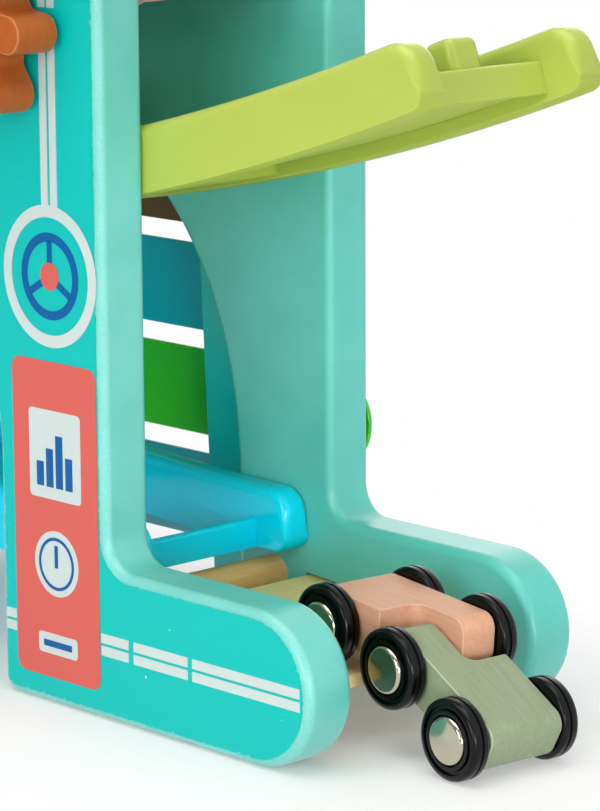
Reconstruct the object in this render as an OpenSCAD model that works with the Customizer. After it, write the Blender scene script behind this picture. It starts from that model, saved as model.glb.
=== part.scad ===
// Toy car ramp tower: two painted boards carry three zigzag slides, an exit plank, a pair of gears
// and a xylophone. Two three-wheeled cars stand at the exit.
// X runs along the boards, Y goes from the front to the back, Z is up. Sizes in millimetres.

/* [Boards] */
// Thickness of the two side boards
board_t = 14.3; // [12:0.1:18]
// Clear space between the boards, which is also the width of the slides
gap = 60.4; // [54:0.2:64]
// Half the width of the tower over its legs
half_w = 103; // [98:1:110]
// Height of the boards
board_h = 250; // [246:1:270]
// Radius of the top corners of a board
top_r = 24; // [10:1:40]
// Height of a foot
foot_h = 37.6; // [34:0.2:40]
// Length of a foot beyond the leg
foot_l = 70.4; // [64:0.2:80]
// Inside radius between leg and foot
fillet_r = 8; // [4:0.5:12]
// Width of a front leg beside the arch
front_leg_w = 40.2; // [36:0.2:44]
// Height at which the round front arch starts to curve
front_spring = 60; // [50:1:66]
// Width of a back leg beside the arch
back_leg_w = 35; // [32:0.2:38]
// Height at which the tall back arch starts to curve
back_spring = 44.4; // [40:0.2:50]
// Rise of the back arch above that height
back_rise = 87; // [82:0.5:92]

/* [Slides] */
// Radius of the curve of a slide, measured at its underside
slide_r = 850; // [800:5:950]
// Level run of a slide from its lower end to its upper end
slide_run = 290.6; // [280:0.2:306]
// Underside of the lowest slide at its lower end
slide_z = 28.6; // [27:0.2:36]
// Height from the lowest slide to the middle one
slide_pitch = 75; // [69:0.2:77]
// Depth of the highest slide's lower end below the top of the boards
top_drop = 79.8; // [74:0.2:84]
// Distance of a slide's lower end inside the leg's outer edge
slide_inset = 7.6; // [0:0.2:10]
// Height of a side wall
wall_h = 16.3; // [15:0.1:19]
// Thickness of a side wall
wall_w = 8.6; // [8:0.1:11]
// Thickness of the floor and of the end bars
shell_t = 2.5; // [2:0.1:3]
// Height of the running floor above the underside
floor_v = 6; // [5:0.5:8]
// Height of the two end bars
bar_h = 7.8; // [7:0.2:11]
// Height of the upper end bar above the underside
bar_rise = 2.1; // [0:0.1:3]
// Distance of the end bars behind the noses of the walls
bar_inset = 10.8; // [4:0.2:12]
// Radius of the upper corner of a nose
nose_r = 7; // [4:0.5:8]
// Radius of the lower corner of a nose
chin_r = 4.5; // [2:0.5:5]
// Length of the drop slot in the floor near the lower end
drop_l = 52; // [44:1:60]
// Diameter of the moulded pegs that sit in the boards
slide_peg_d = 7; // [5:0.5:8]

/* [Crossbars and plank] */
// Diameter of the crossbar dowels
dowel_d = 10; // [8:0.5:12]
// Depth of a dowel in a board
dowel_in = 10; // [6:0.5:12]
// Thickness of the exit plank
plank_t = 3.2; // [2.5:0.1:4]
// Depth of the plank's grooves
groove_in = 4; // [3:0.5:6]
// Top of the plank at its upper end
plank_z = 21.7; // [20:0.1:23]
// Run of the plank
plank_run = 63.6; // [58:0.2:66]
// Slope of the plank in degrees
plank_slope = 4.46; // [3:0.02:5]

/* [Xylophone] */
// Number of keys
key_count = 8; // [4:1:8]
// Space between two keys
key_space = 5.1; // [3:0.1:8]
// Height of the middle of the lowest key
key_z = 28.2; // [26:0.1:32]
// Depth of the middle of the highest key below the top of the boards
key_drop = 19.5; // [16:0.1:24]
// Thickness of a key
key_t = 1.4; // [1.2:0.1:4]
// Half length of the lowest key
key_half = 95.6; // [90:0.1:98]
// Half length that each key loses against the one below it
key_step = 2.6; // [1:0.1:3]
// Lean of the rails in degrees
rail_lean = 3; // [2:0.1:4]
// Width of a rail
rail_w = 34; // [30:0.5:36]
// Thickness of a rail
rail_t = 8; // [6:0.5:10]
// Thickness of the felt washers
felt_t = 1.5; // [1:0.1:2]

/* [Gears] */
// Number of teeth of a gear
teeth = 8;
// Radius over the teeth
gear_r = 27.2; // [26:0.1:28]
// Width of a tooth, rounded at its tip
tooth_w = 9.4; // [8.4:0.1:9.4]
// Radius at the bottom of the gaps
root_r = 17.3; // [16.5:0.1:17.5]
// Radius of the round bottom of a gap
dent_r = 3.3; // [3.2:0.05:3.6]
// Thickness of a gear
gear_t = 12; // [10:0.5:14]
// Middle of the right gear, from the middle of the tower
gear_x = 64.6; // [60:0.2:68]
// Depth of the gears' middles below the top of the boards
gear_drop = 81.1; // [70:0.1:90]
// Distance between the gears
gear_gap = 48.8; // [48.6:0.1:50]
// Angle of one tooth of the right gear
gear_phase = -8.7;
// Diameter of the pegs on which the gears turn
peg_d = 8; // [6:0.5:10]

/* [Cars] */
// Radius of a wheel
wheel_r = 9.75; // [9:0.05:10]
// Width of a wheel
wheel_w = 5; // [4.5:0.1:5.5]
// Distance between the two axles
wheelbase = 25; // [24:0.2:26]
// Half the width of the car body
car_half = 10.8; // [9:0.1:11.5]
// Height of the body's top above the axles
car_top = 7.3; // [6.5:0.1:8]
// Depth of the body's underside below the axles
car_low = 5; // [4:0.1:5.5]
// Overhang of the wide end behind its axle
car_tail = 8.5; // [7:0.1:9]
// Step of the body, in front of the wide axle
car_step = 15.4; // [14.5:0.1:15.6]
// End of the tongue, in front of the wide axle
car_nose = 32; // [30:0.1:32]
// Inner side of the tongue, from the car's middle
tongue_y = 0.8; // [0.6:0.1:2]
// Diameter of the axles
axle_d = 3; // [2.5:0.1:3.5]
// Diameter of the domed wheel caps
cap_d = 11; // [9:0.1:12]

/* [Hidden] */
$fn = 64;

fit = 0.05;          // glue gap around pegs and dowels, on the radius
run_fit = 0.08;      // running clearance around shafts, on the radius
side_play = 0.4;     // play of a turning part along its axle
cut = 1;             // length by which a cutting shape passes a face
inner_y = gap / 2;
outer_y = inner_y + board_t;

// Slides: arc position of the tip, and how far the tip reaches past the lower end
tip_deg = asin(slide_run / slide_r);
chin_deg = asin(chin_r / (slide_r - chin_r));
tip_reach = (slide_r - chin_r) * sin(tip_deg - chin_deg) + chin_r;
low_x = half_w - slide_inset;
peg_marks = [22, 183.5];
peg_v = 8.4;
slide_peg_in = 6;
rib_l = 15;
post_l = 9;
post_w = 10;
post_h = 17.8;
post_back = bar_inset + 1.5;

// Crossbar dowels: place in X and Z
exit_dowel_at = [82.3, 20.1];
top_dowel_at = [60, board_h - 14];

// Exit plank: upper end of its top face
plank_x = 94;
plank_w = gap + 2 * groove_in;
plank_l = plank_run / cos(plank_slope);
groove_play = 0.8;

// Xylophone layers behind the back board
rail_y = outer_y + rail_t;
felt_y = rail_y + felt_t;
key_y = felt_y + key_t;
key_pitch = (board_h - key_drop - key_z) / (key_count - 1);
key_h = key_pitch - key_space;
rail_low = 6;
rail_top = board_h - 4;
rail_inner = 40.6;   // inner edge of a rail at rail_ref_z
rail_ref_z = 44;
screw_d = 3;
screw_head_d = 6;
screw_head_h = 2;
screw_sink = 0.4;     // depth of a rail screw's head below the rail's face
screw_in = 12;
felt_d = 8;
rail_seat_y = rail_y - screw_sink - screw_head_h;

// Gears in front of the front board
gear_z = board_h - gear_drop;
spacer_t = 2;
spacer_d = 14;
peg_in = 11;
peg_head_d = 16;
peg_head_h = 5;
peg_dome_r = 11.5;
gear_y0 = -outer_y - spacer_t - side_play / 2 - gear_t;
peg_y0 = gear_y0 - side_play - peg_head_h;
half_tooth = 180 / teeth;
dent_at = root_r + dent_r;
left_gear_phase = -gear_phase + half_tooth;

// Cars: wheels stand clear of the body, the caps close the axles
wheel_in = car_half + side_play;
wheel_out = wheel_in + wheel_w;
cap_in = wheel_out - 0.8;
cap_h = 2.6;
cap_rim = 0.6;
end_r = 4;
belly_r = 3.5;
notch_r = 3.5;
stub_head_d = 6;
stub_head_t = 1;
car_yaw = -5;
pink_run = 55;       // way of the pink car's rear axle along the plank
pink_y = -1;         // its distance from the middle of the plank
lift = 0.3;          // gap left under standing wheels
sage_at = [195.5, -5.2, wheel_r + lift / 3];
sage_pitch = 28.5;

// The origin is the middle of the footprint, on the floor
x_min = low_x - tip_reach;
x_max = sage_at.x - sin(car_yaw) * (wheel_in + wheel_out) / 2
    + wheel_r * cos(car_yaw) - sin(car_yaw) * wheel_w / 2;
y_min = peg_y0;
y_max = key_y + screw_head_h;
shift = [-(x_min + x_max) / 2, -(y_min + y_max) / 2, 0];

module place() translate(shift) children();

// A flat shape drawn in X and Z, given a width from y0 to y1
module along_y(y0, y1) translate([0, y1, 0]) rotate([90, 0, 0]) linear_extrude(y1 - y0) children();

// A cylinder along Y
module rod(d, y0, y1) translate([0, y0, 0]) rotate([-90, 0, 0]) cylinder(d = d, h = y1 - y0);

module both_sides() {
    children();
    mirror([1, 0, 0]) children();
}

// Opening under an arch with straight legs: a half ellipse above a rectangle
module arch(half, spring, rise) {
    translate([-half, -cut]) square([2 * half, spring + cut]);
    if (rise == half) translate([0, spring]) circle(half, $fn = 180);
    else polygon([for (a = [0:3:180]) [half * cos(a), spring + rise * sin(a)]]);
}

// Space beside a leg and above a foot, with the round inside corner between them
module leg_pocket() {
    translate([half_w + fillet_r, foot_h]) square([foot_l, board_h]);
    translate([half_w, foot_h + fillet_r]) square([foot_l, board_h]);
    translate([half_w + fillet_r, foot_h + fillet_r]) circle(fillet_r);
}

module board_outline() {
    end_x = half_w + foot_l - foot_h / 2;
    block_x = half_w + 2 * fillet_r;
    difference() {
        union() {
            translate([-half_w, 0]) square([2 * half_w, board_h - top_r]);
            translate([top_r - half_w, 0]) square([2 * (half_w - top_r), board_h]);
            translate([-block_x, 0]) square([2 * block_x, foot_h + 2 * fillet_r]);
            translate([-end_x, 0]) square([2 * end_x, foot_h]);
            both_sides() {
                translate([half_w - top_r, board_h - top_r]) circle(top_r);
                translate([end_x, foot_h / 2]) circle(d = foot_h);
            }
        }
        both_sides() leg_pocket();
    }
}

// Point of a slide at a distance along its underside and a height above it
function slide_point(s, v) = let (a = s / slide_r * 180 / PI)
    [(slide_r - v) * sin(a), slide_r - (slide_r - v) * cos(a)];

// Lower ends of the slides: side on which they end, and underside there
function slide_side(i) = i == 1 ? -1 : 1;
function slide_low(i) = i == 2 ? board_h - top_drop : slide_z + i * slide_pitch;

module at_slide(i) translate([slide_side(i) * low_x, 0, slide_low(i)])
    mirror([slide_side(i) > 0 ? 1 : 0, 0, 0]) children();

// Everything that is let into a board from its inside: side is -1 for the front, 1 for the back
module board_sockets(side) {
    y0 = side < 0 ? -inner_y - dowel_in : inner_y - cut;
    y1 = side < 0 ? -inner_y + cut : inner_y + dowel_in;
    for (at = [exit_dowel_at, top_dowel_at], m = [-1, 1])
        translate([m * at[0], 0, at[1]]) rod(dowel_d + 2 * fit, y0, y1);
    for (i = [0:2], s = peg_marks) {
        p = slide_point(s, peg_v);
        deep = slide_peg_in + 0.5;
        at_slide(i) translate([p[0], 0, p[1]])
            rod(slide_peg_d + 4 * fit, side < 0 ? -inner_y - deep : inner_y - cut,
                side < 0 ? -inner_y + cut : inner_y + deep);
    }
    on_plank() translate([-fit, -plank_w / 2 - fit, -plank_t])
        cube([plank_l + 2 * fit, plank_w + 2 * fit, plank_t + groove_play]);
}

module front_board() color("#14c0b9") difference() {
    along_y(-outer_y, -inner_y) difference() {
        board_outline();
        arch(half_w - front_leg_w, front_spring, half_w - front_leg_w);
    }
    board_sockets(-1);
    for (x = [gear_x, gear_x - gear_gap])
        translate([x, 0, gear_z]) rod(peg_d + 2 * fit, -outer_y - cut, -outer_y + peg_in);
}

module back_board() color("#6bc8be") difference() {
    along_y(inner_y, outer_y) difference() {
        board_outline();
        arch(half_w - back_leg_w, back_spring, back_rise);
    }
    board_sockets(1);
    for (at = rail_screw_marks(), m = [-1, 1])
        translate([m * at[0], 0, at[1]]) rod(screw_d + 2 * fit, outer_y - screw_in, outer_y + cut);
}

// Part of a slide's side view between two heights and two distances along the underside
module band(v0, v1, s0, s1) {
    a0 = s0 / slide_r * 180 / PI;
    a1 = s1 / slide_r * 180 / PI;
    reach = 1.2 * slide_r;
    translate([0, slide_r]) intersection() {
        difference() {
            circle(slide_r - v0, $fn = 720);
            circle(slide_r - v1, $fn = 720);
        }
        polygon([[0, 0], [reach * sin(a0), -reach * cos(a0)], [reach * sin(a1), -reach * cos(a1)]]);
    }
}

// Cutter that rounds a corner lying at the origin, inside the quadrant of +X and +Y
module corner_cut(r) difference() {
    translate([-cut, -cut]) square(r + cut);
    translate([r, r]) circle(r);
}

// Side view of a wall with its round noses
module wall_side() difference() {
    band(0, wall_h, 0, tip_s());
    corner_cut(chin_r);
    translate([0, wall_h]) mirror([0, 1]) corner_cut(nose_r);
    translate([0, slide_r]) rotate(tip_deg) translate([0, -slide_r]) mirror([1, 0]) {
        corner_cut(chin_r);
        translate([0, wall_h]) mirror([0, 1]) corner_cut(nose_r);
    }
}

function tip_s() = tip_deg * PI / 180 * slide_r;

// One slide with its lower end at the origin and its upper end towards +X
module slide() {
    end_s = tip_s();
    channel = inner_y - wall_w;
    rib_s = peg_marks[1];
    for (m = [0, 1]) mirror([0, m, 0]) {
        along_y(channel, inner_y) wall_side();
        for (s = peg_marks) {
            p = slide_point(s, peg_v);
            translate([p[0], 0, p[1]]) rod(slide_peg_d, inner_y - shell_t, inner_y + slide_peg_in);
        }
    }
    along_y(-channel - shell_t / 2, channel + shell_t / 2) {
        band(floor_v - shell_t, floor_v, bar_inset + shell_t + drop_l, end_s - bar_inset);
        band(1, floor_v - shell_t / 2, rib_s - rib_l / 2, rib_s + rib_l / 2);
        band(0.2, bar_h, bar_inset, bar_inset + shell_t);
        band(bar_rise, bar_rise + bar_h, end_s - bar_inset - shell_t, end_s - bar_inset);
    }
    along_y(-post_w / 2, post_w / 2)
        band(floor_v - shell_t / 2, post_h, end_s - post_back - post_l, end_s - post_back);
}

module lime_slide() color("#b9cb5f") at_slide(1) slide();
module blue_slide() color("#00acc8") at_slide(0) slide();
module pink_slide() color("#d690a8") at_slide(2) slide();

module dowel(at) color("#c8a060") translate([at[0], 0, at[1]])
    rod(dowel_d, -inner_y - dowel_in, inner_y + dowel_in);

module on_plank() translate([plank_x, 0, plank_z]) rotate([0, plank_slope, 0]) children();

module exit_plank() color("#d8bc80") on_plank()
    translate([0, -plank_w / 2, -plank_t]) cube([plank_l, plank_w, plank_t]);

// Inner edge of the right rail at a height, and the heights and half lengths of the keys
function rail_edge(z) = rail_inner - (z - rail_ref_z) * tan(rail_lean);
function key_mid(i) = key_z + i * key_pitch;
function key_reach(i) = key_half - i * key_step;
function key_screw_x(i) = rail_edge(key_mid(i)) + rail_w / 2;
function rail_screw_marks() = [[rail_edge(11.5) + rail_w - 4, 11.5],
    [rail_edge(key_mid(6.5)) + rail_w / 2, key_mid(6.5)]];

module rail(side) color("#5fc2b8") mirror([side < 0 ? 1 : 0, 0, 0]) difference() {
    along_y(outer_y, rail_y) polygon([
        [rail_edge(rail_low), rail_low], [rail_edge(rail_low) + rail_w, rail_low],
        [rail_edge(rail_top) + rail_w, rail_top], [rail_edge(rail_top), rail_top]]);
    for (at = rail_screw_marks())
        translate([at[0], 0, at[1]]) {
            rod(screw_d + 2 * fit, outer_y - cut, rail_y + cut);
            rod(screw_head_d + 2 * fit, rail_seat_y, rail_y + cut);
        }
    for (i = [0:key_count - 1])
        translate([key_screw_x(i), 0, key_mid(i)]) rod(screw_d + 2 * fit, outer_y + cut, rail_y + cut);
}

// A round-headed screw whose head rests at height y
module screw(y, depth) {
    rod(screw_d, y - depth, y + screw_head_h / 2);
    rod(screw_head_d, y, y + screw_head_h);
}

module rail_screws() color("silver") for (at = rail_screw_marks(), m = [-1, 1])
    translate([m * at[0], 0, at[1]]) screw(rail_seat_y, rail_seat_y - outer_y + screw_in - fit);

module at_key_screws() for (i = [0:key_count - 1], m = [-1, 1])
    translate([m * key_screw_x(i), 0, key_mid(i)]) children();

module key_screws() color("silver") at_key_screws() screw(key_y, key_t + felt_t + rail_t - cut);

module felt_washers() color("#e8e4da") at_key_screws() difference() {
    rod(felt_d, rail_y, felt_y);
    rod(screw_d + 2 * fit, rail_y - cut, felt_y + cut);
}

module key(i, tint) color(tint) translate([0, 0, key_mid(i)]) difference() {
    along_y(felt_y, key_y) both_sides() {
        translate([0, -key_h / 2]) square([key_reach(i) - key_h / 2, key_h]);
        translate([key_reach(i) - key_h / 2, 0]) circle(d = key_h);
    }
    for (m = [-1, 1]) translate([m * key_screw_x(i), 0, 0]) rod(screw_d + 2 * fit, felt_y - cut, key_y + cut);
}

// Gear outline: round-tipped teeth on a disc, with a round dent between each two
module gear_outline() {
    tip_at = gear_r - tooth_w / 2;
    difference() {
        union() {
            circle(norm([dent_at * cos(half_tooth), tooth_w / 2]));
            for (i = [0:teeth - 1]) rotate(i * 360 / teeth) {
                translate([0, -tooth_w / 2]) square([tip_at, tooth_w]);
                translate([tip_at, 0]) circle(d = tooth_w);
            }
        }
        for (i = [0:teeth - 1]) rotate((i + 0.5) * 360 / teeth) translate([dent_at, 0]) circle(dent_r);
    }
}

module gear(x, phase, tint) color(tint) translate([x, 0, gear_z]) difference() {
    along_y(gear_y0, gear_y0 + gear_t) rotate(phase) gear_outline();
    rod(peg_d + 2 * run_fit, gear_y0 - cut, gear_y0 + gear_t + cut);
}

// Peg with a domed head: shaft in the board, the gear turns on it
module gear_peg(x) color("#d2a468") translate([x, 0, gear_z]) {
    rod(peg_d, peg_y0 + peg_head_h - cut, -outer_y + peg_in);
    intersection() {
        rod(peg_head_d, peg_y0 - cut, peg_y0 + peg_head_h);
        translate([0, peg_y0 + peg_dome_r, 0]) sphere(peg_dome_r);
    }
}

module gear_spacer(x) color("#e0c088") translate([x, 0, gear_z]) difference() {
    rod(spacer_d, -outer_y - spacer_t, -outer_y);
    rod(peg_d + 2 * fit, -outer_y - spacer_t - cut, -outer_y + cut);
}

// Car frame: wide axle at the origin, tongue towards +X on the +Y side
module pink_pose() on_plank() translate([pink_run, pink_y, wheel_r + lift]) rotate([0, 0, car_yaw]) children();
module sage_pose() translate(sage_at) rotate([0, sage_pitch, car_yaw]) rotate([0, 0, 180]) children();

module car_plan() difference() {
    union() {
        translate([-car_tail, -car_half]) square([car_tail + car_step, 2 * car_half]);
        translate([-car_tail, tongue_y]) square([car_tail + car_nose, car_half - tongue_y]);
        translate([car_step - cut, tongue_y - notch_r]) square([notch_r + cut, notch_r + cut]);
    }
    translate([car_step + notch_r, tongue_y - notch_r]) circle(notch_r);
}

module car_side() difference() {
    translate([-car_tail, -car_low]) square([car_tail + car_nose, car_low + car_top]);
    translate([-car_tail, -car_low]) corner_cut(belly_r);
    translate([-car_tail, car_top]) mirror([0, 1]) corner_cut(end_r);
    translate([car_nose, -car_low]) mirror([1, 0]) corner_cut(belly_r);
    translate([car_nose, car_top]) mirror([1, 0]) mirror([0, 1]) corner_cut(end_r);
}

module car_body(tint) color(tint) difference() {
    intersection() {
        translate([0, 0, -car_low]) linear_extrude(car_low + car_top) car_plan();
        along_y(-car_half - cut, car_half + cut) car_side();
    }
    rod(axle_d + 2 * run_fit, -car_half - cut, car_half + cut);
    translate([wheelbase, 0, 0]) {
        rod(axle_d + 2 * run_fit, -car_half, car_half + cut);
        rod(stub_head_d + 4 * side_play, -car_half, tongue_y + stub_head_t + side_play);
    }
}

// Wheel on the +Y side: tyre with a ring groove and a seat for its cap
module wheel() color("#101413") difference() {
    rotate([-90, 0, 0]) rotate_extrude() difference() {
        translate([0, wheel_in]) square([wheel_r, wheel_w]);
        translate([wheel_r, wheel_in]) mirror([1, 0]) corner_cut(1);
        translate([wheel_r, wheel_out]) mirror([1, 0]) mirror([0, 1]) corner_cut(1.5);
        translate([7.2, wheel_out - 0.6]) square([0.8, cut]);
        translate([0, cap_in]) square([cap_d / 2 + fit, wheel_w]);
    }
    rod(axle_d, wheel_in - cut, wheel_out + cut);
}

// Domed cap that closes a wheel
module wheel_cap() color("#c9c6b8") difference() {
    dome_h = cap_h - cap_rim;
    dome_r = (pow(cap_d / 2, 2) + dome_h * dome_h) / (2 * dome_h);
    intersection() {
        rod(cap_d, cap_in, cap_in + cap_h + cut);
        translate([0, cap_in + cap_h - dome_r, 0]) sphere(dome_r);
    }
    rod(axle_d, cap_in - cut, cap_in + 1);
}

module long_axle() color("silver") rod(axle_d, -cap_in - 1, cap_in + 1);

module stub_axle() color("silver") translate([wheelbase, 0, 0]) {
    rod(axle_d, tongue_y + stub_head_t / 2, cap_in + 1);
    rod(stub_head_d, tongue_y + 0.2, tongue_y + stub_head_t + 0.2);
}

module other_side() mirror([0, 1, 0]) children();
module at_stub() translate([wheelbase, 0, 0]) children();

module wide_caps() {
    wheel_cap();
    other_side() wheel_cap();
}

place() front_board();
place() back_board();
place() lime_slide();
place() blue_slide();
place() pink_slide();
place() dowel(exit_dowel_at);  // exit_dowel
place() dowel([-exit_dowel_at[0], exit_dowel_at[1]]);  // left_dowel
place() dowel(top_dowel_at);  // top_right_dowel
place() dowel([-top_dowel_at[0], top_dowel_at[1]]);  // top_left_dowel
place() exit_plank();
place() rail(1);  // right_rail
place() rail(-1);  // left_rail
place() rail_screws();
place() felt_washers();
place() key_screws();
place() key(0, "#01787f");  // key_1
place() key(1, "#2f9a1e");  // key_2
place() key(2, "#01787f");  // key_3
place() key(3, "#a8632c");  // key_4
place() key(4, "#d7655b");  // key_5
place() key(5, "#b9cb5f");  // key_6
place() key(6, "#00acc8");  // key_7
place() key(7, "#d690a8");  // key_8
place() gear(gear_x, gear_phase, "#b16332");  // right_gear
place() gear_peg(gear_x);  // right_gear_peg
place() gear_spacer(gear_x);  // right_gear_spacer
place() gear(gear_x - gear_gap, left_gear_phase, "#d7655b");  // left_gear
place() gear_peg(gear_x - gear_gap);  // left_gear_peg
place() gear_spacer(gear_x - gear_gap);  // left_gear_spacer
place() pink_pose() car_body("#d7ab8a");  // pink_car_body
place() pink_pose() long_axle();  // pink_rear_axle
place() pink_pose() other_side() wheel();  // pink_rear_wheel_near
place() pink_pose() wheel();  // pink_rear_wheel_far
place() pink_pose() wide_caps();  // pink_rear_caps
place() pink_pose() stub_axle();  // pink_front_axle
place() pink_pose() at_stub() wheel();  // pink_front_wheel
place() pink_pose() at_stub() wheel_cap();  // pink_front_cap
place() sage_pose() car_body("#9faa89");  // sage_car_body
place() sage_pose() long_axle();  // sage_front_axle
place() sage_pose() wheel();  // sage_front_wheel_near
place() sage_pose() other_side() wheel();  // sage_front_wheel_far
place() sage_pose() wide_caps();  // sage_front_caps
place() sage_pose() stub_axle();  // sage_rear_axle
place() sage_pose() at_stub() wheel();  // sage_rear_wheel
place() sage_pose() at_stub() wheel_cap();  // sage_rear_cap
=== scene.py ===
# %% [markdown]
# # A car ramp tower with gears and a xylophone
# The toy has two painted boards with three moulded slides between them, a wooden exit ramp, a pair of
# gears on the front and a row of metal bars on the back. Two little cars roll off the ramp. The CAD model
# gives every size. So this lesson only dresses it: each piece is drawn again with soft edges where the
# CAD has sharp ones, and gets a material that behaves like the real one.

# %% Load the CAD frame
import math
import random

import bmesh
import bpy
from mathutils import Matrix, Vector


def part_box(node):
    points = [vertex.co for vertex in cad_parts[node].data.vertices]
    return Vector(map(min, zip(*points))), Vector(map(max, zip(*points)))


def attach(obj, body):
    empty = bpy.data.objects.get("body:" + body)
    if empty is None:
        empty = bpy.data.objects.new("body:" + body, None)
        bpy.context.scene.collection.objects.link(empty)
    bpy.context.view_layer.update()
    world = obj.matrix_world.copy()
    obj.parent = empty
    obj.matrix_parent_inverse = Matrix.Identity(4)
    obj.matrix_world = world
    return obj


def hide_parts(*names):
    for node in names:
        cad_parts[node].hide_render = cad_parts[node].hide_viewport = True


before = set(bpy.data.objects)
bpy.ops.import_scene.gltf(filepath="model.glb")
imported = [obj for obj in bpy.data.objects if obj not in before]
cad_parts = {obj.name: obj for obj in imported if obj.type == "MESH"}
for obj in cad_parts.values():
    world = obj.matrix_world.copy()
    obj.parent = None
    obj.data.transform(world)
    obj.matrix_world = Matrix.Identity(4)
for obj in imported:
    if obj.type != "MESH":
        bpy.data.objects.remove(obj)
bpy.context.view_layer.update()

# %% [markdown]
# ## One drawing frame for all pieces
# A maker measures this toy from the middle of the tower, in millimetres. The pieces could be drawn
# straight in the CAD's metres, but then no number could be held against a ruler. So they are drawn in
# millimetres, and one function moves a finished drawing to the CAD frame and hangs it on the right moving
# body. The middle comes from the two boards' own boxes, so nothing has to be fitted by eye.

# %% From a drawing to a piece
MM = 0.001
CREASE = math.radians(42)
front_low, front_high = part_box("front_board")
back_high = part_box("back_board")[1]
MIDDLE = Vector(((front_low[0] + front_high[0]) / 2, (front_low[1] + back_high[1]) / 2, 0))
TO_FRAME = Matrix.Translation(MIDDLE) @ Matrix.Scale(MM, 4)


def piece(name, drawing, body, finish, replaces=(), place=Matrix()):
    """Makes an object of a drawing in millimetres and hangs it on a body of the frame."""
    bmesh.ops.transform(drawing, matrix=TO_FRAME @ place, verts=drawing.verts)
    bmesh.ops.recalc_face_normals(drawing, faces=drawing.faces)
    mesh = bpy.data.meshes.new(name)
    drawing.to_mesh(mesh)
    drawing.free()
    mesh.shade_smooth()
    mesh.set_sharp_from_angle(angle=CREASE)
    mesh.materials.append(finish)
    made = bpy.data.objects.new(name, mesh)
    bpy.context.collection.objects.link(made)
    shading = made.modifiers.new("even_shading", "WEIGHTED_NORMAL")
    shading.keep_sharp = True
    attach(made, body)
    if replaces:
        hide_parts(*replaces)
    print(name, len(mesh.polygons), "faces")
    return made


print("middle of the tower:", tuple(round(c, 4) for c in MIDDLE))

# %% [markdown]
# ## Outlines
# Nearly every wooden or moulded piece here began as a flat outline on a sheet. It could be a curve
# object, but a mesh line that grows point by point can go on to any other mesh tool. Straight runs are
# extruded from the last point, and arcs are spun from it, so that they are true circles.

# %% Outlines of lines and arcs
# Points closer than NEAR meet, and heights closer than FLUSH are the same, in millimetres.
NEAR, FLUSH = 0.01, 0.0001


def only(kind, geometry):
    """The points, edges or faces of one kind in what an operator gives back."""
    return [g for g in geometry if isinstance(g, kind)]


def trace(drawing, start, moves):
    """Draws lines, given as (x, y), and arcs, given as (centre x, centre y, degrees, steps)."""
    tip = drawing.verts.new((*start, 0))
    for move in moves:
        if len(move) == 2:
            tip = bmesh.ops.extrude_vert_indiv(drawing, verts=[tip])["verts"][0]
            tip.co = (*move, 0)
        else:
            x, y, degrees, steps = move
            swept = bmesh.ops.spin(drawing, geom=[tip], cent=(x, y, 0), axis=(0, 0, 1),
                                   angle=math.radians(degrees), steps=steps)
            tip = only(bmesh.types.BMVert, swept["geom_last"])[0]


def closed(drawing, both_sides=False):
    """Makes a face of a traced line, with its mirror image if both sides are alike."""
    if both_sides:
        bmesh.ops.mirror(drawing, geom=drawing.verts[:] + drawing.edges[:], axis="X", merge_dist=NEAR)
    else:
        ends = [v for v in drawing.verts if len(v.link_edges) == 1]
        if len(ends) == 2 and (ends[0].co - ends[1].co).length > 2 * NEAR:
            drawing.edges.new(ends)
    bmesh.ops.remove_doubles(drawing, verts=drawing.verts, dist=2 * NEAR)
    bmesh.ops.contextual_create(drawing, geom=drawing.edges[:])
    return drawing


def outline(start, moves, both_sides=False):
    """A flat face whose border is one trace."""
    drawing = bmesh.new()
    trace(drawing, start, moves)
    return closed(drawing, both_sides)


def rect(x0, y0, x1, y1):
    """Start and moves of a rectangle."""
    return (x0, y0), [(x1, y0), (x1, y1), (x0, y1)]


print("outline tools ready")

# %% [markdown]
# ## Slabs and rounded edges
# An outline was cut out of a board of some thickness, and its edges were rounded over with a router or by
# the mould. A modifier could round every edge alike. A bevel on chosen edges gives each its own radius
# instead. Hands wear the rounded edges first, and the roundings catch bright lines of light. So they are
# marked for the material, which paints them paler: partly wear, partly a painted highlight.

# %% Slabs, roundings and edges marked for wear and painted highlight
UPRIGHT = Matrix.Rotation(math.radians(90), 4, "X")


def standing(y):
    """Stands a drawing up: its thickness then runs from y towards the front."""
    return Matrix.Translation((0, y, 0)) @ UPRIGHT


def thicken(drawing, thickness, base=0.0):
    """Gives a flat face a thickness, from the height base upwards."""
    bmesh.ops.translate(drawing, verts=drawing.verts, vec=(0, 0, base))
    grown = bmesh.ops.extrude_face_region(drawing, geom=drawing.faces[:])["geom"]
    bmesh.ops.translate(drawing, verts=only(bmesh.types.BMVert, grown), vec=(0, 0, thickness))
    bmesh.ops.recalc_face_normals(drawing, faces=drawing.faces)
    return drawing


def rounded(drawing, edges, radius, segments):
    """Rounds the given edges over."""
    bmesh.ops.bevel(drawing, geom=list(edges), offset=radius, offset_type="OFFSET", segments=segments,
                    profile=0.5, affect="EDGES", material=-1, clamp_overlap=False)
    return drawing


def rims(drawing, *heights):
    """The edges that lie wholly at one of the given heights."""
    return [e for e in drawing.edges for z in heights if all(abs(v.co.z - z) < FLUSH for v in e.verts)]


def sharp(drawing, degrees=30):
    """The edges where two faces meet at more than this angle."""
    return [e for e in drawing.edges if len(e.link_faces) == 2
            and e.calc_face_angle() > math.radians(degrees)]


def mark_worn_highlit(drawing, width, from_height=-math.inf):
    """Marks the points amid faces narrower than width, the rounded edges, for wear and painted highlight."""
    worn_highlit = drawing.verts.layers.float.new("worn_highlit")
    for v in drawing.verts:
        v[worn_highlit] = v.co.z > from_height and all(
            f.calc_area() / max(e.calc_length() for e in f.edges) < width for f in v.link_faces)
    return drawing


print("slab tools ready")

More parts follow.
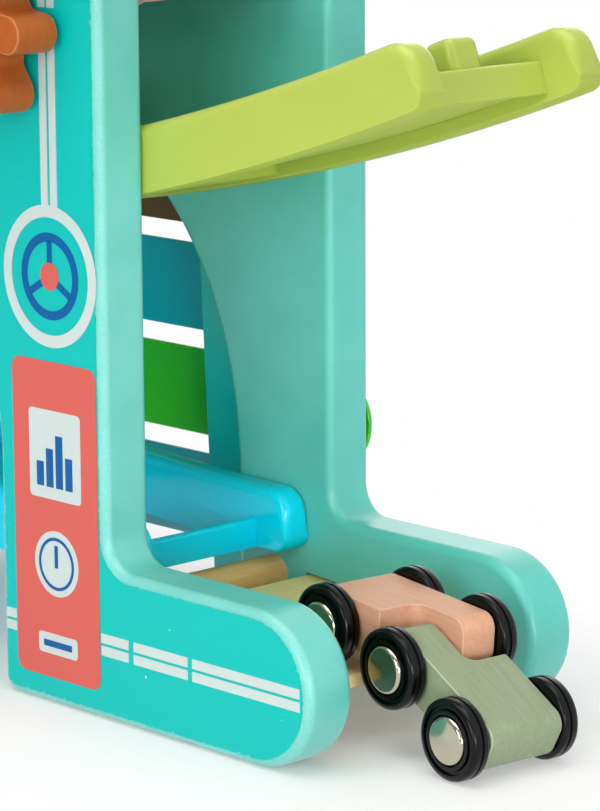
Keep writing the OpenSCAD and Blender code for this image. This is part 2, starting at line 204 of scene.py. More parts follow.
# %% [markdown]
# ## Lathe work and joined drawings
# Dowels, pegs, wheels, caps and screws are round. A cylinder with bevelled rims would do for some of
# them, but a half profile that is spun once around gives every groove and rim in one go. Mouldings and
# groups of small pieces are several drawings joined in one.

# %% Spinning and joining


def turned(profile, steps=72):
    """Lathe work: spins a profile of (radius, y) points and arcs once around the Y axis."""
    drawing = bmesh.new()
    trace(drawing, profile[0], profile[1:])
    bmesh.ops.spin(drawing, geom=drawing.verts[:] + drawing.edges[:], cent=(0, 0, 0), axis=(0, 1, 0),
                   angle=math.tau, steps=steps, use_merge=True)
    bmesh.ops.remove_doubles(drawing, verts=drawing.verts, dist=NEAR / 2)
    bmesh.ops.recalc_face_normals(drawing, faces=drawing.faces)
    return drawing


def add_to(target, part, matrix=Matrix()):
    """Joins one drawing to another, turned and moved by a matrix."""
    carrier = bpy.data.meshes.new("carrier")
    part.to_mesh(carrier)
    part.free()
    carrier.transform(matrix)
    target.from_mesh(carrier)
    bpy.data.meshes.remove(carrier)
    return target


print("lathe ready")

# %% [markdown]
# ## Camera
# The photograph looks down a little at the tower's right front corner through a long lens. A camera could
# be aimed by eye, but the boards have many straight edges, and the place, the turn and the lens were
# worked out from those.

# %% The photograph's camera
AZIMUTH, ELEVATION, ROLL = (math.radians(a) for a in (46.503, 11.393, -0.336))
EYE, LENS, SENSOR = Vector((723.01, -568.42, 240.97)), 154.64, 36
look = Vector((-math.cos(ELEVATION) * math.sin(AZIMUTH), math.cos(ELEVATION) * math.cos(AZIMUTH),
               -math.sin(ELEVATION)))
level = Vector((math.cos(AZIMUTH), math.sin(AZIMUTH), 0))
above = level.cross(look)
right = math.cos(ROLL) * level + math.sin(ROLL) * above
up = math.cos(ROLL) * above - math.sin(ROLL) * level
camera_data = bpy.data.cameras.new("photo_camera")
camera_data.sensor_fit = "VERTICAL"
camera_data.sensor_height = SENSOR
camera_data.lens = LENS
camera = bpy.data.objects.new("photo_camera", camera_data)
camera.matrix_world = (Matrix.Translation(TO_FRAME @ EYE)
                       @ Matrix((right, up, -look)).transposed().to_4x4())
bpy.context.collection.objects.link(camera)
bpy.context.scene.camera = camera
bpy.context.scene.view_settings.view_transform = "Standard"
print("camera at", tuple(round(c, 3) for c in camera.matrix_world.translation))

# %% [markdown]
# ## Shader helpers
# Colours are written as sRGB hex values, as a designer picks them, and one function turns them to the
# linear values that Blender works with. One more adds a shader node with its settings and links. Pattern
# sizes are given in millimetres of the real surface. Most finishes end in the same way, with a colour and
# a fine relief, so that is a function too.

# %% Colours, nodes and pattern sizes


def linear(code):
    """A hex colour as linear red, green, blue and alpha."""
    parts = [int(code[i:i + 2], 16) / 255 for i in (1, 3, 5)]
    return (*((c / 12.92 if c <= 0.04045 else ((c + 0.055) / 1.055) ** 2.4) for c in parts), 1.0)


def features(size_mm):
    """Texture scale at which a pattern's features are this many millimetres wide."""
    return 1 / (size_mm * MM)


def node(tree, kind, inputs=None, **settings):
    """Adds a shader node. An input that is a socket is linked, any other value is set."""
    made = tree.nodes.new(kind)
    for key, value in settings.items():
        setattr(made, key, value)
    for key, value in (inputs or {}).items():
        if isinstance(value, bpy.types.NodeSocket):
            tree.links.new(value, made.inputs[key])
        else:
            made.inputs[key].default_value = value
    return made


def new_finish(name, levels):
    """A material with the shader's levels set: its tree, its shader and the piece's own coordinates."""
    finish = bpy.data.materials.new(name)
    finish.use_nodes = True
    tree = finish.node_tree
    shader = tree.nodes["Principled BSDF"]
    for socket, value in levels.items():
        shader.inputs[socket].default_value = value
    where = node(tree, "ShaderNodeTexCoord").outputs["Object"]
    return finish, tree, shader, where


def dress(tree, shader, colour, height, strength, depth_mm):
    """Gives a shader its colour and a relief of some depth in millimetres."""
    relief = node(tree, "ShaderNodeBump",
                  {"Height": height, "Strength": strength, "Distance": depth_mm * MM})
    tree.links.new(colour.outputs["Color"], shader.inputs["Base Color"])
    tree.links.new(relief.outputs["Normal"], shader.inputs["Normal"])


print("shader helpers ready")

# %% [markdown]
# ## Painted board
# The boards are beech plywood under several coats of satin acrylic paint. The paint hides the grain, and
# a plain colour would come close. But it isn't dead flat: a faint cloudiness and a spray texture break
# the reflections up, and on the marked rounded edges the paint is paler in specks: partly paint wearing
# through, partly a painted highlight where the roundings catch the light.

# %% Satin paint on plywood
# The pale edge colour stands partly for paint wearing through, partly for a painted highlight.
# Spray texture of about half a millimetre is drawn at 0.9 mm, so that it shows.
PAINT_CLOUD, PAINT_SPRAY, PAINT_SPECK, WORN_HIGHLIT_PAINT = 14.0, 0.9, 0.5, "#b9dcd8"


def satin_paint(name, dark, light):
    finish, tree, shader, where = new_finish(name, {"Roughness": 0.3, "Specular IOR Level": 0.6})
    cloud = node(tree, "ShaderNodeTexNoise",
                 {"Vector": where, "Scale": features(PAINT_CLOUD), "Detail": 3.0})
    tone = node(tree, "ShaderNodeMapRange",
                {"Value": cloud.outputs["Fac"], "From Min": 0.3, "From Max": 0.7})
    coat = node(tree, "ShaderNodeMixRGB",
                {"Fac": tone.outputs[0], "Color1": linear(dark), "Color2": linear(light)})
    # Painted highlight and wear: the marked rounded edges mix in specks towards the pale edge colour.
    edge = node(tree, "ShaderNodeAttribute", attribute_name="worn_highlit")
    grit = node(tree, "ShaderNodeTexNoise",
                {"Vector": where, "Scale": features(PAINT_SPECK), "Detail": 2.0})
    speckle = node(tree, "ShaderNodeMapRange", {"Value": grit.outputs["Fac"], "From Min": 0.4,
                                                "From Max": 0.65, "To Min": 0.06, "To Max": 0.22})
    worn_highlit_mix = node(tree, "ShaderNodeMath", {0: edge.outputs["Fac"], 1: speckle.outputs[0]},
                operation="MULTIPLY")
    colour = node(tree, "ShaderNodeMixRGB", {"Fac": worn_highlit_mix.outputs[0], "Color1": coat.outputs["Color"],
                                             "Color2": linear(WORN_HIGHLIT_PAINT)})
    spray = node(tree, "ShaderNodeTexNoise",
                 {"Vector": where, "Scale": features(PAINT_SPRAY), "Detail": 2.0})
    dress(tree, shader, colour, spray.outputs["Fac"], 0.18, 0.25)
    return finish


FRONT_PAINT = satin_paint("satin_paint_front", "#61c1b7", "#6cc8bf")
# The back board and the rails carry the front's paint. They get more saturated copies of it, the rails also
# brighter: a painted shade tone for how the paint looks in shade.
BACK_PAINT_SHADE_TONE = satin_paint("satin_paint_back_shade_tone", "#58c3b8", "#63cac0")
RAIL_PAINT_SHADE_TONE = satin_paint("satin_paint_rail_shade_tone", "#14d4d2", "#1edcd9")
print("paints ready")

# %% [markdown]
# ## Printed ink
# The road, the signs and the bright field behind them are printed on the front board. Ink lies on the
# paint as a thin flat skin, a little duller than the paint, and has lost a few tiny flecks. The flecks
# could be cut out of the skin. As dots in the material they are finer and cost nothing.

# %% Ink with lost flecks
FLECK_PITCH, FLECK_SIZE, FLECK_GROUP, INK_SKIN = 6.0, 0.055, 17.0, 1.1


def ink(name, code, fleck="#bfe6e2"):
    finish, tree, shader, where = new_finish(name, {"Roughness": 0.36, "Specular IOR Level": 0.18})
    dots = node(tree, "ShaderNodeTexVoronoi",
                {"Vector": where, "Scale": features(FLECK_PITCH), "Randomness": 1.0})
    rare = node(tree, "ShaderNodeTexNoise",
                {"Vector": where, "Scale": features(FLECK_GROUP), "Detail": 2.0})
    small = node(tree, "ShaderNodeMath", {0: dots.outputs["Distance"], 1: FLECK_SIZE},
                 operation="LESS_THAN")
    here = node(tree, "ShaderNodeMath", {0: rare.outputs["Fac"], 1: 0.6}, operation="GREATER_THAN")
    lost = node(tree, "ShaderNodeMath", {0: small.outputs[0], 1: here.outputs[0]}, operation="MULTIPLY")
    colour = node(tree, "ShaderNodeMixRGB",
                  {"Fac": lost.outputs[0], "Color1": linear(code), "Color2": linear(fleck)})
    film = node(tree, "ShaderNodeTexNoise", {"Vector": where, "Scale": features(INK_SKIN), "Detail": 2.0})
    dress(tree, shader, colour, film.outputs["Fac"], 0.12, 0.2)
    return finish


INK_TEAL = ink("ink_teal", "#00bbb4")
INK_WHITE = ink("ink_white", "#c6d2d0", "#9fdcd6")
INK_RED = ink("ink_red", "#d26057")
INK_NAVY = ink("ink_navy", "#02599a", "#7fb0d0")
print("inks ready")

# %% [markdown]
# ## Moulded plastic
# The slides are injection moulded polypropylene. It lets a little light in, which softens its shadows,
# and shines softly because the mould was polished but not to a mirror. The underside comes from the
# mould's unpolished half, so it is dull. Two materials could do that. One that asks which way a face
# looks is simpler.

# %% Polypropylene
# Mould texture is finer than a pixel here and is drawn at 1.2 mm.
FLOW_MARKS, MOULD_GRIT = 40.0, 1.2


def polypropylene(name, code, glow):
    finish, tree, shader, where = new_finish(name, {
        "Subsurface Weight": 0.25, "Subsurface Radius": (0.004, 0.004, 0.003), "Subsurface Scale": 0.5})
    flow = node(tree, "ShaderNodeTexNoise",
                {"Vector": where, "Scale": features(FLOW_MARKS), "Detail": 2.0})
    colour = node(tree, "ShaderNodeMixRGB",
                  {"Fac": flow.outputs["Fac"], "Color1": linear(code), "Color2": linear(glow)})
    grit = node(tree, "ShaderNodeTexNoise",
                {"Vector": where, "Scale": features(MOULD_GRIT), "Detail": 3.0})
    dress(tree, shader, colour, grit.outputs["Fac"], 0.06, 0.2)
    facing = node(tree, "ShaderNodeSeparateXYZ", {0: where.node.outputs["Normal"]})
    for socket, dull, polished in (("Roughness", 0.6, 0.2), ("Specular IOR Level", 0.03, 0.35)):
        polish = node(tree, "ShaderNodeMapRange", {"Value": facing.outputs[2], "From Min": -0.6,
                                                   "From Max": -0.1, "To Min": dull, "To Max": polished})
        tree.links.new(polish.outputs[0], shader.inputs[socket])
    return finish


LIME_PLASTIC = polypropylene("polypropylene_lime", "#acbc4d", "#b5c559")
BLUE_PLASTIC = polypropylene("polypropylene_blue", "#00d8fc", "#02deff")
PINK_PLASTIC = polypropylene("polypropylene_pink", "#d88ea6", "#e09ab0")
print("plastics ready")

# %% [markdown]
# ## Bare, stained and painted wood
# The crossbars are beech dowels and the ramp is a thin pine board, both only sanded. The cars are beech
# blocks under a thin stain that lets the pores show as fine streaks, and the gears are painted so thinly
# that some grain comes through. A wave texture would give rings that are too even. One recipe serves all:
# a noise that is stretched along the grain for the year rings and a finer one for the pores.

# %% Wood grain along any direction
# Pores are about 0.1 mm wide and are drawn at 0.45 mm, so that they show.
GRAIN_STRETCH, PORE_W = 14.0, 0.45


def grained_wood(name, dark, light, pore, grain_turn, ring_mm, pore_depth, roughness=0.5, worn_highlit_colour="#f0dfc4"):
    finish, tree, shader, where = new_finish(name, {"Roughness": roughness, "Specular IOR Level": 0.3})
    lengthwise = node(tree, "ShaderNodeMapping", {"Vector": where, "Rotation": grain_turn,
                                                  "Scale": (GRAIN_STRETCH, 1.0, 1.0)}, vector_type="TEXTURE")
    rings = node(tree, "ShaderNodeTexNoise", {"Vector": lengthwise.outputs[0], "Scale": features(ring_mm),
                                              "Detail": 4.0, "Distortion": 0.4})
    tone = node(tree, "ShaderNodeMapRange",
                {"Value": rings.outputs["Fac"], "From Min": 0.32, "From Max": 0.68})
    grain = node(tree, "ShaderNodeMixRGB",
                 {"Fac": tone.outputs[0], "Color1": linear(dark), "Color2": linear(light)})
    pores = node(tree, "ShaderNodeTexNoise", {"Vector": lengthwise.outputs[0], "Scale": features(PORE_W),
                                              "Detail": 2.0})
    open_pore = node(tree, "ShaderNodeMapRange", {"Value": pores.outputs["Fac"], "From Min": 0.36,
                                                  "From Max": 0.5, "To Min": pore_depth, "To Max": 0.0})
    streaked = node(tree, "ShaderNodeMixRGB", {"Fac": open_pore.outputs[0], "Color1": grain.outputs["Color"],
                                               "Color2": linear(pore)})
    # Marked edges mix towards a pale colour: partly wear, partly a painted highlight.
    edge = node(tree, "ShaderNodeAttribute", attribute_name="worn_highlit")
    worn_highlit_mix = node(tree, "ShaderNodeMath", {0: edge.outputs["Fac"], 1: 0.5}, operation="MULTIPLY")
    colour = node(tree, "ShaderNodeMixRGB", {"Fac": worn_highlit_mix.outputs[0], "Color1": streaked.outputs["Color"],
                                             "Color2": linear(worn_highlit_colour)})
    dress(tree, shader, colour, pores.outputs["Fac"], 0.2, 0.2)
    return finish


ALONG, ACROSS = (0, 0, 0), (0, 0, math.radians(90))
BEECH = grained_wood("sanded_beech", "#f4bd72", "#fbcd88", "#c4934f", ACROSS, 2.2, 0.16)
PINE = grained_wood("sanded_pine", "#fed68a", "#ffe6a6", "#dcab5e", ALONG, 3.5, 0.3)
PEG_WOOD = grained_wood("turned_beech", "#c99a5e", "#d9b078", "#9a7038", ACROSS, 2.0, 0.3)
# A gear's last colour is its pale edge: partly wear, partly a painted highlight.
GEAR_ORANGE = grained_wood("painted_gear_orange", "#ac541b", "#b75e24", "#8f4614",
                           (0, math.radians(60), 0), 2.6, 0.22, 0.42, "#dc9566")
GEAR_RED = grained_wood("painted_gear_red", "#d3604f", "#dc6b5c", "#b04a3c",
                        (0, math.radians(20), 0), 2.6, 0.22, 0.42, "#eca393")
print("woods ready")

# %% [markdown]
# ## Enamel, metal, wheels and felt
# The xylophone's bars are steel with a glossy baked enamel, which dries with a faint orange peel. Screws
# are plain steel and the wheel caps are chromed, with marks of handling that change the shine more than
# the colour. The wheels are black ABS with a little dust. The washers under the bars are felt, whose
# fibres are far finer than a pixel and are drawn at 0.6 mm. Each needs only a noise or two, because none
# of them is seen large.

# %% The remaining finishes
# Handled metal keeps 0.86 of its brightness.
ENAMEL_CLOUD, ENAMEL_PEEL, WHEEL_DUST, FELT_FIBRE, HANDLED = 25.0, 1.6, 1.3, 0.6, 0.86


def enamel(name, dark, light):
    finish, tree, shader, where = new_finish(name, {"Roughness": 0.3, "Coat Weight": 0.4,
                                                    "Coat Roughness": 0.12})
    cloud = node(tree, "ShaderNodeTexNoise",
                 {"Vector": where, "Scale": features(ENAMEL_CLOUD), "Detail": 2.0})
    colour = node(tree, "ShaderNodeMixRGB",
                  {"Fac": cloud.outputs["Fac"], "Color1": linear(dark), "Color2": linear(light)})
    peel = node(tree, "ShaderNodeTexNoise",
                {"Vector": where, "Scale": features(ENAMEL_PEEL), "Detail": 1.0})
    dress(tree, shader, colour, peel.outputs["Fac"], 0.08, 0.2)
    return finish


def bare_metal(name, code, roughness, mark_mm):
    finish, tree, shader, where = new_finish(name, {"Metallic": 1.0})
    marks = node(tree, "ShaderNodeTexNoise", {"Vector": where, "Scale": features(mark_mm), "Detail": 4.0})
    handled = (*(c * HANDLED for c in linear(code)[:3]), 1.0)
    colour = node(tree, "ShaderNodeMixRGB",
                  {"Fac": marks.outputs["Fac"], "Color1": handled, "Color2": linear(code)})
    shine = node(tree, "ShaderNodeMapRange", {"Value": marks.outputs["Fac"], "To Min": roughness * 0.6,
                                              "To Max": roughness * 1.4})
    tree.links.new(colour.outputs["Color"], shader.inputs["Base Color"])
    tree.links.new(shine.outputs[0], shader.inputs["Roughness"])
    return finish


def black_abs(name):
    finish, tree, shader, where = new_finish(name, {"Roughness": 0.24, "Specular IOR Level": 0.22})
    dust = node(tree, "ShaderNodeTexNoise", {"Vector": where, "Scale": features(WHEEL_DUST), "Detail": 5.0,
                                             "Roughness": 0.7})
    tone = node(tree, "ShaderNodeMapRange",
                {"Value": dust.outputs["Fac"], "From Min": 0.45, "From Max": 0.75})
    colour = node(tree, "ShaderNodeMixRGB",
                  {"Fac": tone.outputs[0], "Color1": linear("#030504"), "Color2": linear("#0c0f0e")})
    dress(tree, shader, colour, dust.outputs["Fac"], 0.1, 0.2)
    return finish


def felt(name):
    finish, tree, shader, where = new_finish(name, {"Roughness": 0.95})
    fibres = node(tree, "ShaderNodeTexNoise", {"Vector": where, "Scale": features(FELT_FIBRE),
                                               "Detail": 6.0, "Roughness": 0.8})
    colour = node(tree, "ShaderNodeMixRGB",
                  {"Fac": fibres.outputs["Fac"], "Color1": linear("#d8d3c6"), "Color2": linear("#f0ece2")})
    dress(tree, shader, colour, fibres.outputs["Fac"], 0.6, 0.4)
    return finish


STEEL = bare_metal("plain_steel", "#b9bcbc", 0.32, 2.0)
# The chrome's warm brownish tint is a painted reflection of the wood and paper around the caps.
CHROME_WARM_REFLECTION = bare_metal("chrome_plate_warm_reflection", "#c4bfab", 0.12, 4.0)
WHEEL_BLACK = black_abs("black_abs")
FELT = felt("wool_felt")
print("metals, wheels and felt ready")

# %% [markdown]
# ## The boards' outline
# Each board is one outline: feet with round ends, a small inside curve up to the leg, round shoulders,
# and an arch between the legs. The arch could be cut out afterwards, but one closed outline keeps the
# edge whole, so that it can be rounded in one go. Only one half is traced and then mirrored. The back
# arch is a circle that is stretched upwards.

# %% Half an outline and its mirror image
BOARD_T, GAP, HALF_W, BOARD_H = 14.3, 60.4, 103.0, 250.0
TOP_R, FOOT_H, FOOT_L, FILLET_R, SOLE_R = 24.0, 37.6, 70.4, 8.0, 4.5
INNER, OUTER = GAP / 2, GAP / 2 + BOARD_T
# An arch has half its width, the height where it springs, and its rise above that.
FRONT_ARCH, BACK_ARCH = (62.8, 60.0, 62.8), (68.0, 44.4, 87.0)


def board_outline(arch):
    half, spring, rise = arch
    foot_r = FOOT_H / 2
    foot_x = HALF_W + FOOT_L - foot_r
    moves = [(HALF_W - TOP_R, BOARD_H), (HALF_W - TOP_R, BOARD_H - TOP_R, -90, 14),
             (HALF_W, FOOT_H + FILLET_R), (HALF_W + FILLET_R, FOOT_H + FILLET_R, 90, 10),
             (foot_x, FOOT_H), (foot_x, foot_r, -180, 32),
             (half + SOLE_R, 0), (half + SOLE_R, SOLE_R, -90, 6), (half, spring), (0, spring, 90, 36)]
    shape = bmesh.new()
    trace(shape, (0, BOARD_H), moves)
    for v in shape.verts:
        if v.co.y > spring and math.hypot(v.co.x, v.co.y - spring) < half + NEAR:
            v.co.y = spring + (v.co.y - spring) * rise / half
    return closed(shape, True)


print("boards are", 2 * (HALF_W + FOOT_L), "mm wide over the feet")

# %% [markdown]
# ## Milled boards
# The boards were cut on a router and their edges rounded over, which shows as a bright line along every
# edge. On the inside a groove is milled for the exit ramp. A boolean could cut it, but it would tear the
# clean outline up. Here the flat face is filled anew around the groove's mouth, and the mouth is pushed
# in.

# %% Rounded boards with a groove
ROUND, WORN_HIGHLIT_W = 2.5, 1.0
PLANK_X, PLANK_Z, PLANK_T, PLANK_RUN, GROOVE, GROOVE_PLAY = 94.0, 21.7, 3.2, 63.6, 4.0, 0.8
PLANK_SLOPE = math.radians(4.46)
PLANK_L = PLANK_RUN / math.cos(PLANK_SLOPE)


def mill(drawing, height, mouths, depth):
    """Sinks pockets into the flat face at one height. A mouth is a closed line of edges on that face."""
    flat = max((f for f in drawing.faces if all(abs(v.co.z - height) < FLUSH for v in f.verts)),
               key=lambda f: f.calc_area())
    rim = flat.edges[:]
    bmesh.ops.delete(drawing, geom=[flat], context="FACES_ONLY")
    bmesh.ops.triangle_fill(drawing, use_beauty=True, edges=rim + [e for mouth in mouths for e in mouth])
    for mouth in mouths:
        sunk = bmesh.ops.extrude_edge_only(drawing, edges=mouth)["geom"]
        bmesh.ops.translate(drawing, verts=only(bmesh.types.BMVert, sunk), vec=(0, 0, depth))
        bmesh.ops.contextual_create(drawing, geom=only(bmesh.types.BMEdge, sunk))


def groove_mouth(drawing, height):
    """The ramp's end as a closed line, with a little play above it."""
    slope = Matrix.Translation((PLANK_X, PLANK_Z, height)) @ Matrix.Rotation(-PLANK_SLOPE, 4, "Z")
    ends = [(0, -PLANK_T, 0), (PLANK_L, -PLANK_T, 0), (PLANK_L, GROOVE_PLAY, 0), (0, GROOVE_PLAY, 0)]
    corners = [drawing.verts.new(slope @ Vector(c)) for c in ends]
    return [drawing.edges.new((corners[k - 1], corners[k])) for k in range(len(corners))]


for name, arch, y, inside, depth, finish, slot in (
        ("front_board", FRONT_ARCH, -INNER, 0.0, GROOVE, FRONT_PAINT, "front_paint"),
        ("back_board", BACK_ARCH, OUTER, BOARD_T, -GROOVE, BACK_PAINT_SHADE_TONE, "back_paint")):
    board = thicken(board_outline(arch), BOARD_T)
    rounded(board, rims(board, 0.0, BOARD_T), ROUND, 6)
    # Only the front board's rounded edges are marked for wear and painted highlight.
    if name == "front_board":
        mark_worn_highlit(board, WORN_HIGHLIT_W, BOARD_T / 2)
    mill(board, inside, [groove_mouth(board, inside)], depth)
    piece(name + "_painted", board, "tower", finish, [name], standing(y))

# %% [markdown]
# ## The bright field on the front
# The print's bright field follows the board's outline a little in from the edge. Where it meets the
# rounding its border has chipped. A noise in the material could fray it, but a border that is really
# nicked stays crisp from near. So the outline is inset, cut into short runs, and each point is pushed in
# by chance.

# %% The bright field with its chipped border
PRINT_INSET, SKIN, CHIP_RUN = 2.0, 0.1, 0.8
WEAR, NICK, NICK_ODDS = (0, 0.3), (0.4, 0.9), 0.03
chips = random.Random(7)

field = board_outline(FRONT_ARCH)
bmesh.ops.inset_region(field, faces=field.faces[:], thickness=PRINT_INSET, use_boundary=True,
                       use_even_offset=True)
inner_face = max(field.faces, key=lambda f: len(f.verts))
bmesh.ops.delete(field, geom=[f for f in field.faces if f is not inner_face], context="FACES")
for e in field.edges[:]:
    cuts = int(e.calc_length() / CHIP_RUN)
    if cuts:
        bmesh.ops.subdivide_edges(field, edges=[e], cuts=cuts)
nicks = {}
field.faces.ensure_lookup_table()
for corner_loop in field.faces[0].loops:
    along = corner_loop.link_loop_next.vert.co - corner_loop.link_loop_prev.vert.co
    inwards = field.faces[0].normal.cross(along).normalized()
    depth = chips.uniform(*WEAR) if chips.random() > NICK_ODDS else chips.uniform(*NICK)
    nicks[corner_loop.vert] = inwards * depth
for v, nick in nicks.items():
    v.co += nick
thicken(field, SKIN)
piece("print_field", field, "tower", INK_TEAL, (), standing(-OUTER))

# %% [markdown]
# ## The road
# White road lines run up both legs and, as dashes, out over the feet. An image could hold the whole
# print, but it would blur from near. Each shape is a thin flat skin instead. Where one colour lies on
# another, it is at least a tenth of a millimetre further out, so that the two don't share a plane.

# %% Road lines and dashes
LINE_X, LINE_W, LINE_BREAK, LINE_TOP = (81.6, 85.0), 2.5, (168.6, 171.1), BOARD_H - 2.6
LINE_FROM = {1: 123.0, -1: 24.0}
DASHES, DASH_Z, DASH_W = ((64.9, 68.7), (101.0, 111.0), (112.9, 132.2)), (16.3, 19.4), 2.4
LAST_DASH, DASH_TIP, TIP_SLANT = 133.8, 170.6, 0.2
white, red, navy = bmesh.new(), bmesh.new(), bmesh.new()


def skin(target, start, moves, layer):
    """Adds one flat printed shape at a layer."""
    return add_to(target, thicken(outline(start, moves), SKIN, layer * SKIN))


def stripe(side, near, far, z0, z1):
    """A white stripe on the board's right half, or with side -1 on its left half."""
    x0, x1 = sorted((side * near, side * far))
    skin(white, *rect(x0, z0, x1, z1), 1)


for side in (1, -1):
    for x in LINE_X:
        stripe(side, x, x + LINE_W, LINE_FROM[side], LINE_BREAK[0])
        stripe(side, x, x + LINE_W, LINE_BREAK[1], LINE_TOP)
    for z in DASH_Z:
        off_middle = abs(z + DASH_W / 2 - FOOT_H / 2)
        for near, far in (*DASHES, (LAST_DASH, DASH_TIP - off_middle * TIP_SLANT)):
            stripe(side, near, far, z, z + DASH_W)
print("road lines", len(white.faces), "faces")

# %% [markdown]
# ## The signs
# On the right leg lie a ring with a steering wheel, and a plain pump with a window, a dial and a plate.
# They are drawn from rings, discs and rectangles, because a few such shapes are quicker to change than a
# traced picture. Rings are a short line spun once around.

# %% Ring, pump, window, dial and plate
RING_AT, RING_R, RING_IN, RIM_R, RIM_IN, HUB_R = (84.2, 106.8), 17.3, 14.3, 10.6, 8.4, 3.4
SPOKE_FROM, SPOKE_TO, SPOKE_HALF = 2.0, 8.6, 0.9
# A panel has left, low, right, top and, where its corners are round, their radius.
PUMP, WINDOW = (69.2, 7.0, 100.6, 86.0, 3.0), (75.4, 52.0, 94.6, 74.0, 1.2)
PLATE, PLATE_LINE = (77.6, 13.0, 92.2, 18.2, 1.0), (79.6, 14.8, 90.2, 16.4)
CHART_X, CHART_Z, CHART_PITCH, CHART_W, CHART = 78.2, 55.0, 3.6, 2.6, (6.0, 9.5, 13.0, 8.0)
DIAL_X, DIAL_Z, DIAL_R, DIAL_RING = 84.9, 36.0, 8.2, (6.6, 5.8)
HAND_HALF, HAND_LOW, HAND_TOP = 0.6, 35.0, 40.6


def disc(target, x, y, r, layer, steps=48):
    return skin(target, (x + r, y), [(x, y, 360, steps)], layer)


def ring(target, x, y, outer_r, inner_r, layer, steps=64):
    """A printed ring: a short edge spun once around."""
    band = bmesh.new()
    trace(band, (x + inner_r, y), [(x + outer_r, y)])
    bmesh.ops.spin(band, geom=band.verts[:] + band.edges[:], cent=(x, y, 0), axis=(0, 0, 1),
                   angle=math.tau, steps=steps, use_merge=True)
    return add_to(target, thicken(band, SKIN, layer * SKIN))


def soft_rect(x0, y0, x1, y1, r):
    """Start and moves of a rectangle with round corners."""
    return (x0 + r, y0), [(x1 - r, y0), (x1 - r, y0 + r, 90, 6), (x1, y1 - r), (x1 - r, y1 - r, 90, 6),
                          (x0 + r, y1), (x0 + r, y1 - r, 90, 6), (x0, y0 + r), (x0 + r, y0 + r, 90, 6)]


ring(white, *RING_AT, RING_R, RING_IN, 2)
ring(navy, *RING_AT, RIM_R, RIM_IN, 1)
for angle in (90, 210, 330):
    spoke = thicken(outline(*rect(SPOKE_FROM, -SPOKE_HALF, SPOKE_TO, SPOKE_HALF)), SKIN, SKIN)
    add_to(navy, spoke, Matrix.Translation((*RING_AT, 0)) @ Matrix.Rotation(math.radians(angle), 4, "Z"))
disc(red, *RING_AT, HUB_R, 2, 32)
skin(red, *soft_rect(*PUMP), 2)
skin(white, *soft_rect(*WINDOW), 3)
for k, height in enumerate(CHART):
    x = CHART_X + CHART_PITCH * k
    skin(navy, *rect(x, CHART_Z, x + CHART_W, CHART_Z + height), 4)
disc(white, DIAL_X, DIAL_Z, DIAL_R, 3)
ring(navy, DIAL_X, DIAL_Z, *DIAL_RING, 4)
skin(navy, *rect(DIAL_X - HAND_HALF, HAND_LOW, DIAL_X + HAND_HALF, HAND_TOP), 4)
skin(white, *soft_rect(*PLATE), 3)
skin(navy, *rect(*PLATE_LINE), 4)
for name, shapes, finish in (("print_white", white, INK_WHITE), ("print_red", red, INK_RED),
                             ("print_navy", navy, INK_NAVY)):
    piece(name, shapes, "tower", finish, (), standing(-OUTER))

# %% [markdown]
# ## Curved strips for the slides
# A slide is one moulding: two tall walls with soft tops and round noses, a floor between them, a bar
# across each end, a stop post near the upper end and a rib underneath. A straight slide could be bent by
# a modifier, but it follows one large circle, so every strip of it is drawn in side view as two arcs and
# two short ends. The same tool then makes walls, floor, bars, rib and post.

# %% Strips along one large circle
SLIDE_R, SLIDE_RUN, LOW_X = 850.0, 290.6, 95.4
# The arcs' steps are longer than a nose's rounding, so that it ends within one step.
STEP_L = 9.0
TIP_S = math.asin(SLIDE_RUN / SLIDE_R) * SLIDE_R


def arc_point(s, v):
    """The place s along the slide's underside and v above it, in side view."""
    a = s / SLIDE_R
    return ((SLIDE_R - v) * math.sin(a), SLIDE_R - (SLIDE_R - v) * math.cos(a))


def strip(v0, v1, s0, s1, width):
    """A curved bar between two heights above the underside and two places along it."""
    degrees = math.degrees((s1 - s0) / SLIDE_R)
    steps = max(2, int((s1 - s0) / STEP_L))
    shape = outline(arc_point(s0, v0), [(0, SLIDE_R, degrees, steps), arc_point(s1, v1),
                                        (0, SLIDE_R, -degrees, steps)])
    return thicken(shape, width)


def corner(drawing, s, v):
    """The edges across a strip at one corner of its side view."""
    x, y = arc_point(s, v)
    return [e for e in drawing.edges if all(math.hypot(w.co.x - x, w.co.y - y) < 5 * NEAR for w in e.verts)]


def height_over(v):
    return SLIDE_R - math.hypot(v.co.x, v.co.y - SLIDE_R)


print("slides are", round(TIP_S, 1), "mm long along their underside")

# %% [markdown]
# ## Moulded slides
# The walls' noses are rounded widely in side view first, and then all along their rims, more above than
# below. The floor, bars and rib run a little into the walls, so that no gap shows. All three slides are
# the same moulding, and two of them are mirrored.

# %% Walls, floors, bars and posts
WALL_H, WALL_W, NOSE_R, CHIN_R, TOP_ROUND, LOW_ROUND = 16.3, 8.6, 7.0, 4.5, 2.6, 0.8
SHELL, FLOOR_V, DROP_L, INTO_WALL = 2.5, 6.0, 52.0, 1.0
BAR_H, BAR_LOW, BAR_RISE, BAR_IN, BAR_ROUND = 7.8, 0.2, 2.1, 10.8, 0.9
POST_L, POST_W, POST_H, POST_BACK, POST_ROUND = 9.0, 10.0, 17.8, BAR_IN + 1.5, 2.2
RIB_S, RIB_L, RIB_LOW, INTO_FLOOR = 183.5, 15.0, 1.0, 1.0
CHANNEL = INNER - WALL_W


def slide_wall():
    wall = strip(0, WALL_H, 0, TIP_S, WALL_W)
    for s in (0, TIP_S):
        rounded(wall, corner(wall, s, WALL_H), NOSE_R, 7)
        rounded(wall, corner(wall, s, 0), CHIN_R, 5)
    rounded(wall, [e for e in rims(wall, 0.0, WALL_W)
                   if max(height_over(v) for v in e.verts) > CHIN_R + 2 * NEAR], TOP_ROUND, 5)
    rounded(wall, [e for e in rims(wall, 0.0, WALL_W)
                   if max(height_over(v) for v in e.verts) < CHIN_R - 2 * NEAR], LOW_ROUND, 2)
    return wall


